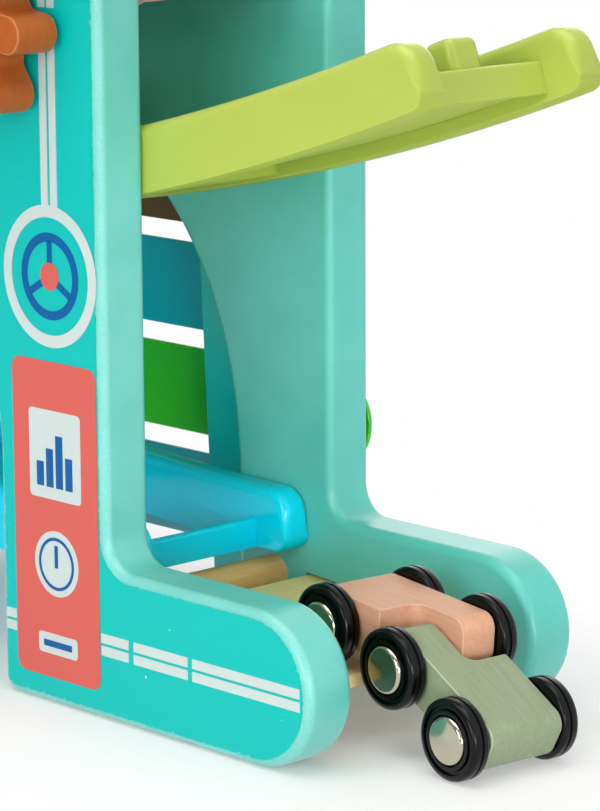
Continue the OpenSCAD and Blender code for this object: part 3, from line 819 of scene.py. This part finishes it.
def slide():
    whole = bmesh.new()
    for z in (CHANNEL, -INNER):
        add_to(whole, slide_wall(), Matrix.Translation((0, 0, z)))
    across = Matrix.Translation((0, 0, -CHANNEL - INTO_WALL))
    width = 2 * (CHANNEL + INTO_WALL)
    floor_from, floor_to = BAR_IN + SHELL + DROP_L, TIP_S - BAR_IN - SHELL / 2
    add_to(whole, strip(FLOOR_V - SHELL, FLOOR_V, floor_from, floor_to, width), across)
    add_to(whole, strip(RIB_LOW, FLOOR_V - SHELL / 2, RIB_S - RIB_L / 2, RIB_S + RIB_L / 2, width), across)
    for s, low, top in ((BAR_IN, BAR_LOW, BAR_H), (TIP_S - BAR_IN - SHELL, BAR_RISE, BAR_RISE + BAR_H)):
        bar = strip(low, top, s, s + SHELL, width)
        rounded(bar, corner(bar, s, top) + corner(bar, s + SHELL, top), BAR_ROUND, 3)
        add_to(whole, bar, across)
    post = strip(FLOOR_V - INTO_FLOOR, POST_H, TIP_S - POST_BACK - POST_L, TIP_S - POST_BACK, POST_W)
    tops = [e for e in sharp(post) if any(height_over(v) > FLOOR_V + INTO_FLOOR for v in e.verts)]
    rounded(post, tops, POST_ROUND, 4)
    add_to(whole, post, Matrix.Translation((0, 0, -POST_W / 2)))
    return whole


for name, lower_end, low_z, finish in (("blue", 1, 28.6, BLUE_PLASTIC), ("lime", -1, 103.6, LIME_PLASTIC),
                                       ("pink", 1, 170.2, PINK_PLASTIC)):
    flip = Matrix.Scale(-1, 4, (1, 0, 0)) if lower_end > 0 else Matrix()
    seat = Matrix.Translation((lower_end * LOW_X, 0, low_z)) @ flip @ UPRIGHT
    piece(f"{name}_slide_moulding", slide(), "tower", finish, [f"{name}_slide"], seat)

# %% [markdown]
# ## Crossbars and exit ramp
# Four beech dowels tie the boards together, and a thin pine board lies in two grooves between the right
# feet as the last ramp. The dowels are turned with a small chamfer, which a plain cylinder lacks. The
# ramp is a slab with its sharp corners taken off.

# %% Dowels and ramp
DOWEL_R, DOWEL_IN, CHAMFER, PLANK_ROUND = 5.0, 10.0, 0.6, 0.4
LOW_DOWEL, TOP_DOWEL = (82.3, 20.1), (60.0, 236.0)
for name, side, (x, z) in (("exit_dowel", 1, LOW_DOWEL), ("left_dowel", -1, LOW_DOWEL),
                           ("top_right_dowel", 1, TOP_DOWEL), ("top_left_dowel", -1, TOP_DOWEL)):
    end = INNER + DOWEL_IN
    dowel = turned([(0, -end), (DOWEL_R - CHAMFER, -end), (DOWEL_R, -end + CHAMFER),
                    (DOWEL_R, end - CHAMFER), (DOWEL_R - CHAMFER, end), (0, end)], 48)
    piece(name + "_beech", dowel, "tower", BEECH, [name], Matrix.Translation((side * x, 0, z)))

ON_PLANK = Matrix.Translation((PLANK_X, 0, PLANK_Z)) @ Matrix.Rotation(PLANK_SLOPE, 4, "Y")
ramp = thicken(outline(*rect(0, -INNER - GROOVE, PLANK_L, INNER + GROOVE)), PLANK_T, -PLANK_T)
rounded(ramp, sharp(ramp), PLANK_ROUND, 2)
piece("exit_plank_pine", ramp, "tower", PINE, ["exit_plank"], ON_PLANK)

# %% [markdown]
# ## Xylophone rails
# Behind the back board two painted rails lean towards each other, because the bars grow shorter towards
# the top. Each has two round seats for sunk screws. The seats are milled like the ramp's groove, from a
# circle that is drawn on the flat face.

# %% Leaning rails with screw seats
KEY_H, KEY_PITCH, KEY_Z, KEY_T, KEY_HALF, KEY_STEP = 23.8, 28.9, 28.2, 1.4, 95.6, 2.6
RAIL_W, RAIL_T, RAIL_LOW, RAIL_TOP, RAIL_ROUND = 34.0, 8.0, 6.0, 246.0, 1.2
RAIL_X, RAIL_X_AT, LEAN = 40.6, 44.0, math.tan(math.radians(3))
HEAD_R, HEAD_H, SINK, SEAT_R = 3.0, 2.0, 0.4, 3.1
LOW_SCREW_Z, LOW_SCREW_IN, TOP_SCREW_KEYS = 11.5, 4.0, 6.5
RAIL_Y = OUTER + RAIL_T


def rail_edge(z):
    return RAIL_X - (z - RAIL_X_AT) * LEAN


def seat_mouth(drawing, x, z):
    """A circle on the rail's outer face, as a closed line."""
    drawn = bmesh.ops.create_circle(drawing, radius=SEAT_R, segments=32,
                                    matrix=Matrix.Translation((x, z, 0)))["verts"]
    return [e for e in drawing.edges if all(v in drawn for v in e.verts)]


top_screw_z = KEY_Z + TOP_SCREW_KEYS * KEY_PITCH
RAIL_SCREWS = [(rail_edge(LOW_SCREW_Z) + RAIL_W - LOW_SCREW_IN, LOW_SCREW_Z),
               (rail_edge(top_screw_z) + RAIL_W / 2, top_screw_z)]
for name, side in (("right_rail", 1), ("left_rail", -1)):
    corners = [(side * (rail_edge(z) + w), z) for z, w in ((RAIL_LOW, 0), (RAIL_LOW, RAIL_W),
                                                           (RAIL_TOP, RAIL_W), (RAIL_TOP, 0))]
    rail = thicken(outline(corners[0], corners[1:]), RAIL_T)
    rounded(rail, sharp(rail), RAIL_ROUND, 3)
    mill(rail, 0.0, [seat_mouth(rail, side * x, z) for x, z in RAIL_SCREWS], HEAD_H + SINK)
    piece(name + "_painted", rail, "tower", RAIL_PAINT_SHADE_TONE, [name], standing(RAIL_Y))

# %% [markdown]
# ## Xylophone bars
# Eight enamelled steel bars with round ends lie across the rails, and each is a little shorter than the
# one below it. A bar is a flat outline with a thickness and a thin soft edge, drawn as one half and
# mirrored, because both ends are alike.

# %% Eight enamelled bars
FELT_T, KEY_ROUND = 1.5, 0.45
KEY_Y = RAIL_Y + FELT_T + KEY_T
KEY_TINTS = {"key_teal": ("#03b0c2", "#05bdce"), "key_green": ("#30c000", "#3acb04"),
             "key_brown": ("#7c4a06", "#864f0a"), "key_red": ("#d45f55", "#dd6b60"),
             "key_lime": ("#b3c655", "#bed063"), "key_blue": ("#02a6c2", "#06b0cc"),
             "key_pink": ("#d28aa4", "#dc96ae")}
KEY_SLOTS = ["key_teal", "key_green", "key_teal", "key_brown", "key_red", "key_lime", "key_blue", "key_pink"]
ENAMELS = {slot: enamel(slot.replace("key", "enamel"), *tints) for slot, tints in KEY_TINTS.items()}
key_marks = []
for k, slot in enumerate(KEY_SLOTS):
    z = KEY_Z + k * KEY_PITCH
    flat = KEY_HALF - k * KEY_STEP - KEY_H / 2
    half_bar = [(flat, -KEY_H / 2), (flat, 0, 180, 24), (0, KEY_H / 2)]
    bar = thicken(outline((0, -KEY_H / 2), half_bar, True), KEY_T)
    rounded(bar, rims(bar, 0.0, KEY_T), KEY_ROUND, 3)
    piece(f"key_{k + 1}_bar", bar, "tower", ENAMELS[slot], [f"key_{k + 1}"],
          Matrix.Translation((0, 0, z)) @ standing(KEY_Y))
    key_marks += [(side * (rail_edge(z) + RAIL_W / 2), z) for side in (1, -1)]

# %% [markdown]
# ## Screws and felt washers
# Each bar is held by two pan-head screws with a cross slot and rests on two felt washers, which let it
# ring. Four more screws hold the rails. They are turned like the dowels. The slots could be cut in, but
# they are very small, so two thin crossed strips on the head draw them.

# %% Small hardware
SHAFT_R, HEAD_EDGE, HEAD_SHOULDER, HEAD_FLAT, HEAD_FALL = 1.5, 0.9, (2.6, 1.6), 1.4, 0.05
SLOT_L, SLOT_W, SLOT_T, SLOT_SUNK = 2.6, 0.6, 0.04, 0.01
KEY_SCREW_SHORT, RAIL_SCREW_BITE = 1.0, 11.9
FELT_R, FELT_HOLE, FELT_SOFT, FELT_CURVE = 4.0, 1.6, 0.2, 0.4


def screw(y, depth):
    """A pan head on its shaft, with the head's seat at y."""
    shoulder_r, shoulder = HEAD_SHOULDER
    top = y + HEAD_H - HEAD_FALL
    return turned([(0, y - depth), (SHAFT_R, y - depth), (SHAFT_R, y), (HEAD_R, y), (HEAD_R, y + HEAD_EDGE),
                   (shoulder_r, y + shoulder), (HEAD_FLAT, top), (0, top)], 28)


rail_marks = [(side * x, z) for x, z in RAIL_SCREWS for side in (1, -1)]
in_rail = RAIL_T - HEAD_H - SINK
for name, marks, y, depth in (
        ("key_screws", key_marks, KEY_Y, KEY_T + FELT_T + RAIL_T - KEY_SCREW_SHORT),
        ("rail_screws", rail_marks, RAIL_Y - HEAD_H - SINK, in_rail + RAIL_SCREW_BITE)):
    group = bmesh.new()
    for x, z in marks:
        add_to(group, screw(y, depth), Matrix.Translation((x, 0, z)))
        on_head = Matrix.Translation((x, y + HEAD_H - SLOT_SUNK, z)) @ UPRIGHT
        for turn in (0, 90):
            slot_strip = thicken(outline(*rect(-SLOT_L / 2, -SLOT_W / 2, SLOT_L / 2, SLOT_W / 2)), SLOT_T)
            add_to(group, slot_strip, on_head @ Matrix.Rotation(math.radians(turn), 4, "Z"))
    piece(name + "_steel", group, "tower", STEEL, [name])

washers = bmesh.new()
felt_top = RAIL_Y + FELT_T
for x, z in key_marks:
    washer = turned([(FELT_HOLE, RAIL_Y), (FELT_R - FELT_SOFT, RAIL_Y), (FELT_R, RAIL_Y + FELT_CURVE),
                     (FELT_R, felt_top - FELT_CURVE), (FELT_R - FELT_SOFT, felt_top), (FELT_HOLE, felt_top),
                     (FELT_HOLE, RAIL_Y)], 28)
    add_to(washers, washer, Matrix.Translation((x, 0, z)))
piece("felt_washers_soft", washers, "tower", FELT, ["felt_washers"])

# %% [markdown]
# ## Gears
# Two equal gears with eight thick round teeth turn on pegs in front of the board. One tooth could be
# drawn and copied round, but one closed outline needs no welding: it goes round each tooth as line, half
# circle, line, and through each gap as one hollow arc. The edges are sanded soft. The pegs have domed
# heads.

# %% Meshing gears on pegs
TEETH, GEAR_R, TOOTH_W, ROOT_R, GEAR_T, GEAR_ROUND, GEAR_WORN_HIGHLIT = 8, 27.2, 9.4, 17.3, 12.0, 0.6, 0.6
GEAR_X, GEAR_Z, GEAR_GAP, GEAR_PHASE = 64.6, 168.9, 48.8, -8.7
SPACER_T, SPACER_R, SPACER_HOLE, SPACER_SOFT, PLAY = 2.0, 7.0, 4.05, 0.3, 0.4
PEG_R, PEG_IN = 4.0, 11.0
# The peg's head as radius and height, from the middle outwards.
PEG_DOME = ((0, 5.0), (2.4, 4.75), (4.6, 4.05), (6.4, 2.9), (7.5, 1.5), (8.0, 0.0))
GEAR_FRONT = -OUTER - SPACER_T - PLAY / 2 - GEAR_T
half_pitch = math.pi / TEETH
DENT_R = (ROOT_R * math.sin(half_pitch) - TOOTH_W / 2) / (1 - math.sin(half_pitch))
DENT_AT = ROOT_R + DENT_R


def around(x, y, angle):
    return (x * math.cos(angle) - y * math.sin(angle), x * math.sin(angle) + y * math.cos(angle))


def gear_outline(phase):
    foot, tip = DENT_AT * math.cos(half_pitch), GEAR_R - TOOTH_W / 2
    moves = []
    for k in range(TEETH):
        a = math.radians(phase) + 2 * half_pitch * k
        moves += [around(tip, -TOOTH_W / 2, a), (*around(tip, 0, a), 180, 16), around(foot, TOOTH_W / 2, a),
                  (*around(DENT_AT, 0, a + half_pitch), -180 + math.degrees(2 * half_pitch), 10)]
    return outline(around(foot, -TOOTH_W / 2, math.radians(phase)), moves)


left_phase = -GEAR_PHASE + math.degrees(half_pitch)
for side, x, phase, finish, slot in (("right", GEAR_X, GEAR_PHASE, GEAR_ORANGE, "gear_orange"),
                                     ("left", GEAR_X - GEAR_GAP, left_phase, GEAR_RED, "gear_red")):
    gear = thicken(gear_outline(phase), GEAR_T)
    # The rounded rims are marked for the pale edge: wear and painted highlight.
    mark_worn_highlit(rounded(gear, rims(gear, 0.0, GEAR_T), GEAR_ROUND, 2), GEAR_WORN_HIGHLIT)
    here = Matrix.Translation((x, 0, GEAR_Z))
    piece(f"{side}_gear_wood", gear, f"{side}_gear", finish, [f"{side}_gear"],
          here @ standing(GEAR_FRONT + GEAR_T))
    head, peg_end = GEAR_FRONT - PLAY, -OUTER + PEG_IN
    dome = [(r, head - h) for r, h in PEG_DOME]
    peg = turned([*dome, (PEG_R, head), (PEG_R, peg_end), (0, peg_end)], 48)
    piece(f"{side}_gear_peg_beech", peg, "tower", PEG_WOOD, [f"{side}_gear_peg"], here)
    spacer_front = -OUTER - SPACER_T
    spacer = turned([(SPACER_HOLE, spacer_front), (SPACER_R - SPACER_SOFT, spacer_front),
                     (SPACER_R, spacer_front + SPACER_SOFT), (SPACER_R, -OUTER), (SPACER_HOLE, -OUTER),
                     (SPACER_HOLE, spacer_front)], 48)
    piece(f"{side}_gear_spacer_beech", spacer, "tower", PEG_WOOD, [f"{side}_gear_spacer"], here)

# %% [markdown]
# ## Car bodies
# Both cars are cut from one plan: a wide end on two wheels and a tongue on one, so that two cars lock
# together like puzzle pieces. A box could be carved to it, but the real block was sawn along the plan as
# well. So the plan is cut out, the ends are rounded from top and bottom, and the other edges are only
# broken with sandpaper.

# %% A block with a tongue
CAR_HALF, CAR_TOP, CAR_LOW, TAIL, STEP, NOSE, TONGUE, NOTCH_R = 10.8, 7.3, 5.0, 8.5, 15.4, 32.0, 0.8, 3.5
TOP_END_R, LOW_END_R, SANDED_R, CAR_WORN_HIGHLIT = 4.0, 3.5, 0.45, 0.6


def car_body():
    plan = outline((-TAIL, -CAR_HALF), [(STEP, -CAR_HALF), (STEP, TONGUE - NOTCH_R),
                                        (STEP + NOTCH_R, TONGUE - NOTCH_R, -90, 8), (NOSE, TONGUE),
                                        (NOSE, CAR_HALF), (-TAIL, CAR_HALF)])
    block = thicken(plan, CAR_LOW + CAR_TOP, -CAR_LOW)
    for z, radius in ((CAR_TOP, TOP_END_R), (-CAR_LOW, LOW_END_R)):
        ends = [e for e in rims(block, z) if any(all(abs(v.co.x - x) < FLUSH for v in e.verts)
                                                 for x in (-TAIL, NOSE))]
        rounded(block, ends, radius, 7)
    # The sanded edges are marked for the pale edge: wear and painted highlight.
    return mark_worn_highlit(rounded(block, sharp(block), SANDED_R, 2), CAR_WORN_HIGHLIT)


print("car bodies are", TAIL + NOSE, "mm long")

# %% [markdown]
# ## Wheels, caps and axles
# A wheel is moulded with a ring groove in its tread and another in its face, and a chromed cap with a
# rolled rim closes it. A torus and a disc would give the rough shape. The turned profile gives the
# grooves too, and they catch the light as thin rings.

# %% Turned running gear
WHEEL_R, WHEEL_IN, WHEEL_OUT, WHEELBASE = 9.75, 11.2, 16.2, 25.0
CAP_R, CAP_IN, CAP_H, CAP_ROLL, CAP_CROWN, CAP_SOFT = 5.8, 15.4, 1.8, 1.1, 0.3, 0.1
AXLE_R, PIN_HEAD_R, PIN_HEAD_T, PIN_PLAY = 1.5, 3.0, 1.0, 0.2


def wheel():
    """A tyre in one profile of (radius, y) points, from the inner tread to the cap's seat."""
    w0, w1 = WHEEL_IN, WHEEL_OUT
    inner_tread = [(8.6, w0), (9.3, w0 + 0.2), (9.65, w0 + 0.6), (WHEEL_R, w0 + 1.1), (WHEEL_R, w0 + 1.9)]
    tread_groove = [(9.35, w0 + 2.1), (9.35, w0 + 2.5)]
    outer_tread = [(WHEEL_R, w0 + 2.7), (WHEEL_R, w1 - 1.3), (9.55, w1 - 0.6), (9.1, w1 - 0.15), (8.5, w1)]
    face = [(8.1, w1), (7.9, w1 - 0.7), (7.3, w1 - 0.7), (7.1, w1 - 0.1), (6.6, w1), (6.1, w1 - 0.1)]
    cap_seat = [(5.9, CAP_IN), (AXLE_R, CAP_IN)]
    return turned([(AXLE_R, w0), *inner_tread, *tread_groove, *outer_tread, *face, *cap_seat, (AXLE_R, w0)])


def cap():
    """A pressed cap: a nearly flat face with a rolled rim."""
    top = CAP_IN + CAP_H
    flat_r, shoulder = CAP_R - CAP_ROLL, top - CAP_CROWN - CAP_ROLL
    rim = [(0, CAP_IN), (CAP_R - CAP_SOFT, CAP_IN), (CAP_R, CAP_IN + CAP_SOFT), (CAP_R, shoulder),
           (flat_r, shoulder, 90, 8)]
    crown = [(flat_r * k / 4, top - CAP_CROWN * (k / 4) ** 2) for k in (3, 2, 1, 0)]
    return turned(rim + crown, 64)


def axle(y0, y1, head=False):
    """A plain pin, or one with a flat head at its inner end."""
    start = [(0, y0), (AXLE_R, y0)]
    if head:
        start = [(0, y0), (PIN_HEAD_R, y0), (PIN_HEAD_R, y0 + PIN_HEAD_T), (AXLE_R, y0 + PIN_HEAD_T)]
    return turned(start + [(AXLE_R, y1), (0, y1)], 32)


print("wheels are", 2 * WHEEL_R, "mm across")

# %% [markdown]
# ## Two cars
# A car is drawn in its own frame, with the wide axle at the origin, and then put in place: the pink one
# stands on the ramp, and the sage one rolls off its end, nose down. The two wheels of a pair are mirror
# images of each other. The stain's grain is turned with the car, because it lies along the block.

# %% Cars on the ramp and on the floor
PINK_ALONG, PINK_Y, PINK_OVER = 55.0, -1.0, 0.3
SAGE_X, SAGE_Y, SAGE_OVER, SAGE_TILT = 195.5, -5.2, 0.1, math.radians(28.5)
YAW = Matrix.Rotation(math.radians(-5), 4, "Z")
PINK_POSE = ON_PLANK @ Matrix.Translation((PINK_ALONG, PINK_Y, WHEEL_R + PINK_OVER)) @ YAW
SAGE_POSE = (Matrix.Translation((SAGE_X, SAGE_Y, WHEEL_R + SAGE_OVER)) @ YAW
             @ Matrix.Rotation(SAGE_TILT, 4, "Y") @ Matrix.Rotation(math.pi, 4, "Z"))
OTHER_SIDE = Matrix.Scale(-1, 4, (0, 1, 0))
AT_TONGUE = Matrix.Translation((WHEELBASE, 0, 0))
STAIN_RINGS, STAIN_PORES, STAIN_ROUGH = 1.4, 0.25, 0.5
# Each stain: dark, light and pore colours, then a pale edge colour, partly wear and partly painted
# highlight.
STAINS = {"pink": ("#d8a081", "#dfaa8b", "#c38e74", "#ecc2a4"),
          "sage": ("#8d997b", "#95a283", "#7e896c", "#e2e2c8")}

for car, pose, wide, tongue, near, far in (("pink", PINK_POSE, "rear", "front", OTHER_SIDE, Matrix()),
                                           ("sage", SAGE_POSE, "front", "rear", Matrix(), OTHER_SIDE)):
    dark, light, pore, worn_highlit_colour = STAINS[car]
    stain = grained_wood(f"stained_beech_{car}", dark, light, pore, tuple(pose.to_euler()), STAIN_RINGS,
                         STAIN_PORES, STAIN_ROUGH, worn_highlit_colour)
    piece(f"{car}_car_block", car_body(), f"{car}_car", stain, [f"{car}_car_body"], pose)
    pair, single = f"{car}_{wide}_wheels", f"{car}_{tongue}_wheel"
    for word, mirrored in (("near", near), ("far", far)):
        piece(f"{car}_{wide}_tyre_{word}", wheel(), pair, WHEEL_BLACK,
              [f"{car}_{wide}_wheel_{word}"], pose @ mirrored)
    caps = add_to(cap(), cap(), OTHER_SIDE)
    piece(f"{car}_{wide}_caps_chrome", caps, pair, CHROME_WARM_REFLECTION, [f"{car}_{wide}_caps"], pose)
    piece(f"{car}_{wide}_axle_pin", axle(-CAP_IN, CAP_IN), pair, STEEL,
          [f"{car}_{wide}_axle"], pose)
    piece(f"{car}_{tongue}_tyre", wheel(), single, WHEEL_BLACK, [f"{car}_{tongue}_wheel"],
          pose @ AT_TONGUE)
    piece(f"{car}_{tongue}_cap_chrome", cap(), single, CHROME_WARM_REFLECTION, [f"{car}_{tongue}_cap"],
          pose @ AT_TONGUE)
    piece(f"{car}_{tongue}_axle_pin", axle(TONGUE + PIN_PLAY, CAP_IN, True), single, STEEL,
          [f"{car}_{tongue}_axle"], pose @ AT_TONGUE)

# %% [markdown]
# ## Floor
# The toy stands on a white paper sweep. More light would turn the paper white and bleach the toy as well.
# So the paper itself turns white for the camera, a little way off the toy, and keeps the shadow close to
# it. Shiny pieces see it white behind the toy, and as plain paper in front, where the room is dim.

# %% Paper that catches the shadow
SWEEP, FOOTPRINT = 6.0, (0.2, 0.06)


def off_a_mirror(tree, rays):
    """1 for a ray that comes off a shiny surface or through a clear one, and 0 for others."""
    return node(tree, "ShaderNodeMath", {0: rays.outputs["Is Glossy Ray"],
                                         1: rays.outputs["Is Transmission Ray"]}, operation="MAXIMUM")


floor_drawing = bmesh.new()
bmesh.ops.create_grid(floor_drawing, x_segments=2, y_segments=2, size=SWEEP)
floor_mesh = bpy.data.meshes.new("studio_floor")
floor_drawing.to_mesh(floor_mesh)
floor_drawing.free()
floor = bpy.data.objects.new("studio_floor", floor_mesh)
bpy.context.collection.objects.link(floor)
floor_finish, tree, shader, where = new_finish("studio_paper", {"Base Color": linear("#f4f4f2"),
                                                                "Roughness": 0.9})
rays = node(tree, "ShaderNodeLightPath")
spot = node(tree, "ShaderNodeSeparateXYZ", {0: where})
beside = []
for axis, half in enumerate(FOOTPRINT):
    from_middle = node(tree, "ShaderNodeMath", {0: spot.outputs[axis]}, operation="ABSOLUTE")
    beside.append(node(tree, "ShaderNodeMath", {0: from_middle.outputs[0], 1: half}, operation="SUBTRACT"))
away = node(tree, "ShaderNodeMath", {0: beside[0].outputs[0], 1: beside[1].outputs[0]}, operation="MAXIMUM")
fade = node(tree, "ShaderNodeMapRange", {"Value": away.outputs[0], "From Min": -0.03, "From Max": 0.06,
                                         "To Min": 0.2, "To Max": 1.0})
behind = node(tree, "ShaderNodeMapRange", {"Value": spot.outputs[1], "From Min": -0.15, "From Max": 0.02})
seen = node(tree, "ShaderNodeMath", {0: fade.outputs[0], 1: rays.outputs["Is Camera Ray"]},
            operation="MULTIPLY")
mirrored = node(tree, "ShaderNodeMath", {0: behind.outputs[0], 1: off_a_mirror(tree, rays).outputs[0]},
                operation="MULTIPLY")
white_out = node(tree, "ShaderNodeMath", {0: seen.outputs[0], 1: mirrored.outputs[0]}, operation="MAXIMUM")
glow = node(tree, "ShaderNodeEmission", {"Color": (1, 1, 1, 1), "Strength": 1.0})
paper = node(tree, "ShaderNodeMixShader",
             {0: white_out.outputs[0], 1: shader.outputs[0], 2: glow.outputs[0]})
tree.links.new(paper.outputs[0], tree.nodes["Material Output"].inputs["Surface"])
floor_mesh.materials.append(floor_finish)
print("floor ready")

# %% [markdown]
# ## Surroundings
# A light tent gives very soft light from all round. The camera sees it as pure white, and shiny pieces
# see it white behind the toy and dimmer in front. One colour could do for all three, but then the toy
# would either be overlit or stand before a grey wall.

# %% The light tent
world = bpy.data.worlds.new("light_tent")
world.use_nodes = True
bpy.context.scene.world = world
tree = world.node_tree
rays = node(tree, "ShaderNodeLightPath")
heading = node(tree, "ShaderNodeVectorMath", {0: node(tree, "ShaderNodeTexCoord").outputs["Generated"],
                                              1: (0, 1, 0.2)}, operation="DOT_PRODUCT")
brightness = node(tree, "ShaderNodeMapRange", {"Value": heading.outputs["Value"], "From Min": -0.6,
                                               "From Max": 0.4, "To Min": 0.15, "To Max": 1.0})
tent = node(tree, "ShaderNodeBackground", {"Color": linear("#f7f9fa"), "Strength": 0.22})
mirrored = node(tree, "ShaderNodeBackground", {"Color": (1, 1, 1, 1), "Strength": brightness.outputs[0]})
backdrop = node(tree, "ShaderNodeBackground", {"Color": (1, 1, 1, 1), "Strength": 1.0})
in_gloss = node(tree, "ShaderNodeMixShader", {0: off_a_mirror(tree, rays).outputs[0], 1: tent.outputs[0],
                                              2: mirrored.outputs[0]})
both = node(tree, "ShaderNodeMixShader", {0: rays.outputs["Is Camera Ray"], 1: in_gloss.outputs[0],
                                          2: backdrop.outputs[0]})
tree.links.new(both.outputs[0], tree.nodes["World Output"].inputs["Surface"])
print("tent ready")

# %% [markdown]
# ## Lamps
# Soft boxes stand around the tent: the strongest above, a smaller one at the right front that gives the
# edges their bright lines, and weaker ones at the front, the right and the back. Sun lamps would throw
# hard shadows, which the photograph doesn't have. One narrow box shines along the floor between the feet.

# %% Soft boxes
# Places and targets are in the drawing's millimetres, sizes in metres, and spreads in degrees.
for name, at, target, size, watts, spread in (
        ("tent_top", (150, -150, 900), (60, 0, 80), 0.9, 6.8, 180),
        ("front_box", (-250, -900, 500), (60, 0, 100), 0.8, 0.6, 180),
        ("key_box", (450, -760, 300), (110, 0, 50), 0.4, 2.8, 180),
        ("low_box", (600, -240, 50), (140, 0, 10), 0.3, 0.12, 28),
        ("right_box", (900, 20, 420), (80, 0, 80), 0.6, 0.6, 180),
        ("back_box", (-350, 850, 450), (0, 40, 100), 0.7, 1.7, 180)):
    lamp = bpy.data.lights.new(name, "AREA")
    lamp.shape, lamp.size, lamp.energy, lamp.spread = "SQUARE", size, watts, math.radians(spread)
    holder = bpy.data.objects.new(name, lamp)
    holder.location = TO_FRAME @ Vector(at)
    aim = (TO_FRAME @ Vector(target)) - holder.location
    holder.rotation_euler = aim.to_track_quat("-Z", "Y").to_euler()
    bpy.context.collection.objects.link(holder)
print("studio ready")
